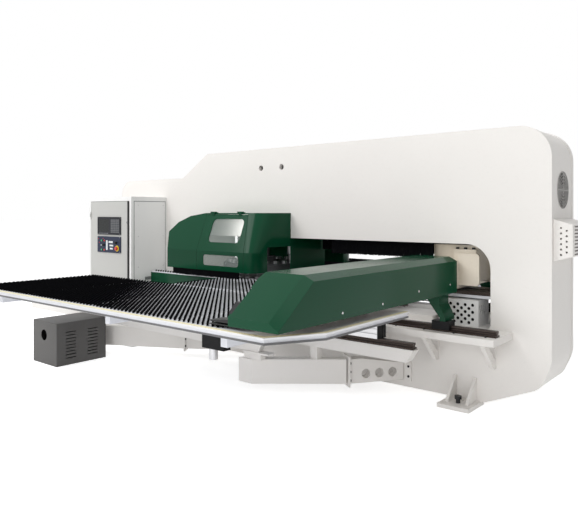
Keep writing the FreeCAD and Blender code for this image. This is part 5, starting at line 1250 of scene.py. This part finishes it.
# ------------------------------------------------------------------ covers
@dataclass
class CoverTrim:
    """Screws on the green beam cover and on the saddle's flange, and the turret cover's seal, whose
    black is partly painted shade.
    """

    cover_screws: tuple[Pair, ...] = ((-1.62, 0.985), (-0.56, 1.02), (-2.10, 0.985), (-1.10, 1.02))
    cap_profile: tuple[Pair, ...] = ((0.014, 0.0), (0.014, 0.016), (0.009, 0.016), (0.008, 0.010))
    flange_columns: tuple[float, ...] = (1.722, 1.795, 1.868)
    flange_y: float = 0.172
    flange_top: float = 1.290
    seal_left: float = -1.281
    seal_right: float = -0.270
    seal_faces: Pair = (0.0065, 0.0145)
    seal_holder: float = 0.002
    seal_holder_levels: Pair = (-0.010, 0.004)
    seal_root: float = 0.008
    seal_tip: float = 0.938
    seal_ragged: float = 0.008
    seal_pitch: float = 0.009
    seal_share: float = 0.86
    seed: int = 5

    def build(self) -> None:
        """Make the screws and the seal."""
        self._cover_screws()
        self._saddle_screws()
        self._seal()

    def _cover_screws(self) -> None:
        """The bright screws on the outer side of the beam covers."""
        _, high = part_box("beam_covers")
        screws = MeshMaker("beam_cover_screws")
        for side in (1, -1):
            for y, z in self.cover_screws:
                screws.screw((high.x, y * side, z), RIGHTWARD, radius=0.008, height=0.004)
        screws.finish(LOCK_CHROME, "gantry", "lock_chrome")

    def _saddle_screws(self) -> None:
        """The cap screws on the saddle's flange."""
        caps = MeshMaker("saddle_screws")
        for x in self.flange_columns:
            for y in (-self.flange_y, self.flange_y):
                caps.turned(self.cap_profile, (x, y, self.flange_top), UPWARD, sides=20)
        caps.finish(BOLT_STEEL, "gantry", "bolt_steel")

    def _seal(self) -> None:
        """The row of black bristles under the turret cover's front; its black in the gap there is
        partly a brush seal and partly painted shade.
        """
        low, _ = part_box("near_turret_cover")
        chance = random.Random(self.seed)
        front, back = (low.y + depth for depth in self.seal_faces)
        foot, head = (low.z + level for level in self.seal_holder_levels)
        maker = MeshMaker("cover_brush_seal_and_shade")
        maker.block(
            (self.seal_left, front - self.seal_holder, foot),
            (self.seal_right, back + self.seal_holder, head),
            bevel=0.001,
        )
        count = int((self.seal_right - self.seal_left) / self.seal_pitch)
        width = self.seal_pitch * self.seal_share
        for number in range(count):
            x = self.seal_left + self.seal_pitch * number
            tip = self.seal_tip + chance.uniform(0.0, self.seal_ragged)
            outline = [(x, front, tip), (x + width, front, tip), (x + width, back, tip),
                       (x, back, tip)]
            maker.prism(outline, (0, 0, low.z - self.seal_root - tip))
        maker.finish(BRISTLE, "frame", "bristle")


# ------------------------------------------------------------------ bridge
@dataclass
class BridgeTrim:
    """The shroud behind the end fan, the drive guard's lining, both black to paint shade, and the
    bolts along the shelves.
    """

    shroud_radius: float = 0.152
    shroud_wall: float = 0.008
    shroud_depth: float = 0.04675
    shroud_back: float = 0.006
    shroud_behind: float = 0.030
    shroud_hub: Pair = (0.012, 0.010)
    shroud_sides: int = 48
    guard_plate: float = 0.004
    lining: float = 0.0015
    lining_gap: float = 0.0004
    lining_insets: tuple[float, float, float] = (0.006, 0.003, 0.004)
    bolt_pitch: float = 0.26
    bolt_count: int = 8
    bolt_start: float = 0.09
    bolt_row: float = 0.590
    bolt_offset: float = 0.054
    bolt_profile: tuple[Pair, ...] = ((0.009, 0.0), (0.009, 0.008), (0.007, 0.010))

    def build(self) -> None:
        """Make the shroud, the lining and the bolts."""
        self._shroud()
        self._guard_lining()
        self._shelf_bolts()

    def _shroud(self) -> None:
        """The moulded ring and back plate that hold the end fan; their deep black is partly painted
        shade inside the frame behind the fan.
        """
        low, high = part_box("frame_fan")
        middle = (low + high) / 2
        place = (low.x - self.shroud_behind, middle.y, middle.z)
        outer = self.shroud_radius
        hub, tip = self.shroud_hub
        back = self.shroud_back
        maker = MeshMaker("fan_shroud")
        plate = [(outer, 0.0), (outer, back), (hub, back), (tip, 0.0)]
        maker.turned(plate, place, RIGHTWARD, self.shroud_sides)
        maker.upright_ring(
            place, (0.0, 1.0), (outer - self.shroud_wall, outer), (self.shroud_depth, 0, 0),
            self.shroud_sides,
        )
        maker.finish(SHROUD_AND_SHADE_BLACK, "frame", "fan_plastic")

    def _guard_lining(self) -> None:
        """The black sheet inside the drive guard's near, right and upper walls, painted shade
        inside the guard.
        """
        low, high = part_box("drive_guard")
        near, right = low.y + self.guard_plate, high.x - self.guard_plate
        top = high.z - self.guard_plate - self.lining_gap
        end_inset, corner, foot_inset = self.lining_insets
        gap, thick = self.lining_gap, self.lining
        left, far, foot = low.x + end_inset, high.y - end_inset, low.z + foot_inset
        maker = MeshMaker("drive_guard_shade_lining")
        maker.block((left, near + gap, foot), (right - corner, near + gap + thick, top))
        maker.block((right - gap - thick, near + corner, foot), (right - gap, far, top))
        maker.block((left, near + corner, top - thick), (right - corner, far, top))
        maker.finish(SHROUD_AND_SHADE_BLACK, "frame", "black_paint")

    def _shelf_bolts(self) -> None:
        """Hexagon screws through each shelf rail's base strip."""
        _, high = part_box("shelves")
        maker = MeshMaker("shelf_screws")
        for side in (-1.0, 1.0):
            for number in range(self.bolt_count):
                x = high.x - self.bolt_start - self.bolt_pitch * number
                for offset in (-self.bolt_offset, self.bolt_offset):
                    place = (x, side * self.bolt_row + offset, high.z)
                    maker.turned(self.bolt_profile, place, UPWARD, sides=6)
        maker.finish(BOLT_STEEL, "frame", "bolt_steel")


# ------------------------------------------------------------------ studio
@dataclass(frozen=True)
class Lamp:
    """A soft square light: where it hangs, the point it faces, its side and its power in watts."""

    place: Point
    aim: Point
    size: float
    power: float


@dataclass
class Studio:
    """The pale floor, the soft lights, one of them inside the turret cover, and the camera."""

    focal_px: float = 605.58
    turn_deg: float = 39.60
    camera_at: Point = (3.964, -5.197, 1.604)
    horizon_px: float = 213.0
    sensor: float = 36.0
    sight: float = 200.0
    floor_size: float = 240.0
    floor_colour: Colour = (0.92, 0.92, 0.92)
    floor_roughness: float = 0.9
    floor_specular: float = 0.1
    floor_glow: float = 0.18
    floor_backdrop: float = 0.46
    surround: float = 0.38
    backdrop: float = 1.0
    lamps: list[Lamp] = field(default_factory=lambda: [
        Lamp((-4.5, -7.0, 8.2), (-0.8, 0.0, 0.8), 6.0, 540.0),
        Lamp((2.5, -9.5, 3.0), (0.4, -1.0, 0.8), 4.0, 205.0),
        Lamp((6.5, -3.0, 5.5), (1.0, -0.5, 0.8), 4.0, 15.0),
        Lamp((0.6, -0.2, 8.2), (0.0, -0.2, 0.5), 7.0, 205.0),
        Lamp((-0.60, -0.64, 1.46), (-0.60, -0.34, 1.22), 0.14, 2.4),
    ])

    def build(self) -> None:
        """Make the floor, lights, world and camera."""
        self._floor()
        self._world()
        for number, lamp in enumerate(self.lamps):
            self._light("soft_light_%d" % number, lamp)
        self._camera()
        bpy.context.scene.view_settings.view_transform = "Standard"

    def _floor(self) -> None:
        """The plain pale floor."""
        half = self.floor_size / 2
        ends = [(-half, -half, 0), (half, -half, 0), (half, half, 0), (-half, half, 0)]
        mesh = bpy.data.meshes.new("floor")
        mesh.from_pydata(ends, [], [(0, 1, 2, 3)])
        floor = bpy.data.objects.new("floor", mesh)
        bpy.context.scene.collection.objects.link(floor)
        material = bpy.data.materials.new("studio_floor")
        material.use_nodes = True
        tree = material.node_tree
        shader = tree.nodes["Principled BSDF"]
        shader.inputs["Base Color"].default_value = (*self.floor_colour, 1.0)
        shader.inputs["Roughness"].default_value = self.floor_roughness
        shader.inputs["Specular IOR Level"].default_value = self.floor_specular
        shader.inputs["Emission Color"].default_value = (1.0, 1.0, 1.0, 1.0)
        lift = tree.nodes.new("ShaderNodeMath")
        lift.operation = "MULTIPLY_ADD"
        lift.inputs[1].default_value = self.floor_backdrop
        lift.inputs[2].default_value = self.floor_glow
        tree.links.new(self._direct_view(tree), lift.inputs[0])
        tree.links.new(lift.outputs["Value"], shader.inputs["Emission Strength"])
        mesh.materials.append(material)

    def _direct_view(self, tree: bpy.types.NodeTree) -> bpy.types.NodeSocket:
        """Tell the rays that see the backdrop from those that only carry light.

        Args:
            tree: The node tree that asks.

        Returns:
            A socket that is one for camera, glossy and transmission rays.
        """
        rays = tree.nodes.new("ShaderNodeLightPath")
        seen = rays.outputs["Is Camera Ray"]
        for kind in ("Is Glossy Ray", "Is Transmission Ray"):
            either = tree.nodes.new("ShaderNodeMath")
            either.operation = "MAXIMUM"
            tree.links.new(seen, either.inputs[0])
            tree.links.new(rays.outputs[kind], either.inputs[1])
            seen = either.outputs["Value"]
        return seen

    def _world(self) -> None:
        """An even white surround, brighter where it is seen directly."""
        world = bpy.data.worlds.new("studio")
        world.use_nodes = True
        tree = world.node_tree
        ground = tree.nodes["Background"]
        seen = tree.nodes.new("ShaderNodeBackground")
        for node, strength in ((ground, self.surround), (seen, self.backdrop)):
            node.inputs["Color"].default_value = (1.0, 1.0, 1.0, 1.0)
            node.inputs["Strength"].default_value = strength
        mix = tree.nodes.new("ShaderNodeMixShader")
        tree.links.new(self._direct_view(tree), mix.inputs["Fac"])
        tree.links.new(ground.outputs["Background"], mix.inputs[1])
        tree.links.new(seen.outputs["Background"], mix.inputs[2])
        tree.links.new(mix.outputs["Shader"], tree.nodes["World Output"].inputs["Surface"])
        bpy.context.scene.world = world

    def _light(self, name: str, lamp: Lamp) -> None:
        """Add one soft square light.

        Args:
            name: Its name.
            lamp: Its place, aim, size and power.
        """
        data = bpy.data.lights.new(name, "AREA")
        data.shape = "SQUARE"
        data.size = lamp.size
        data.energy = lamp.power
        light = bpy.data.objects.new(name, data)
        light.location = lamp.place
        view = Vector(lamp.aim) - Vector(lamp.place)
        light.rotation_euler = view.to_track_quat("-Z", "Y").to_euler()
        bpy.context.scene.collection.objects.link(light)

    def _camera(self) -> None:
        """The photograph's camera: level, with a small shift."""
        data = bpy.data.cameras.new("photo_camera")
        data.sensor_fit = "HORIZONTAL"
        data.sensor_width = self.sensor
        data.lens = self.focal_px * self.sensor / IMAGE_WIDTH
        data.shift_y = (self.horizon_px - IMAGE_HEIGHT / 2) / IMAGE_WIDTH
        data.clip_end = self.sight
        camera = bpy.data.objects.new("photo_camera", data)
        camera.location = self.camera_at
        camera.rotation_euler = (math.pi / 2, 0.0, math.radians(self.turn_deg))
        bpy.context.scene.collection.objects.link(camera)
        bpy.context.scene.camera = camera


def main() -> None:
    """Build the looks of the whole press, in order."""
    logging.basicConfig(level=logging.INFO, format="%(name)s: %(message)s")
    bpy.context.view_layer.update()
    dress_nodes()
    BrushField("wing_brushes", "gantry", seed=7, seams=WING_TABLE_SEAMS).build()
    BrushField("centre_brushes", "frame", seed=11).build()
    TableTrim().build()
    CabinetTrim().build()
    CoverTrim().build()
    BridgeTrim().build()
    Studio().build()


if __name__ == "__main__":
    main()
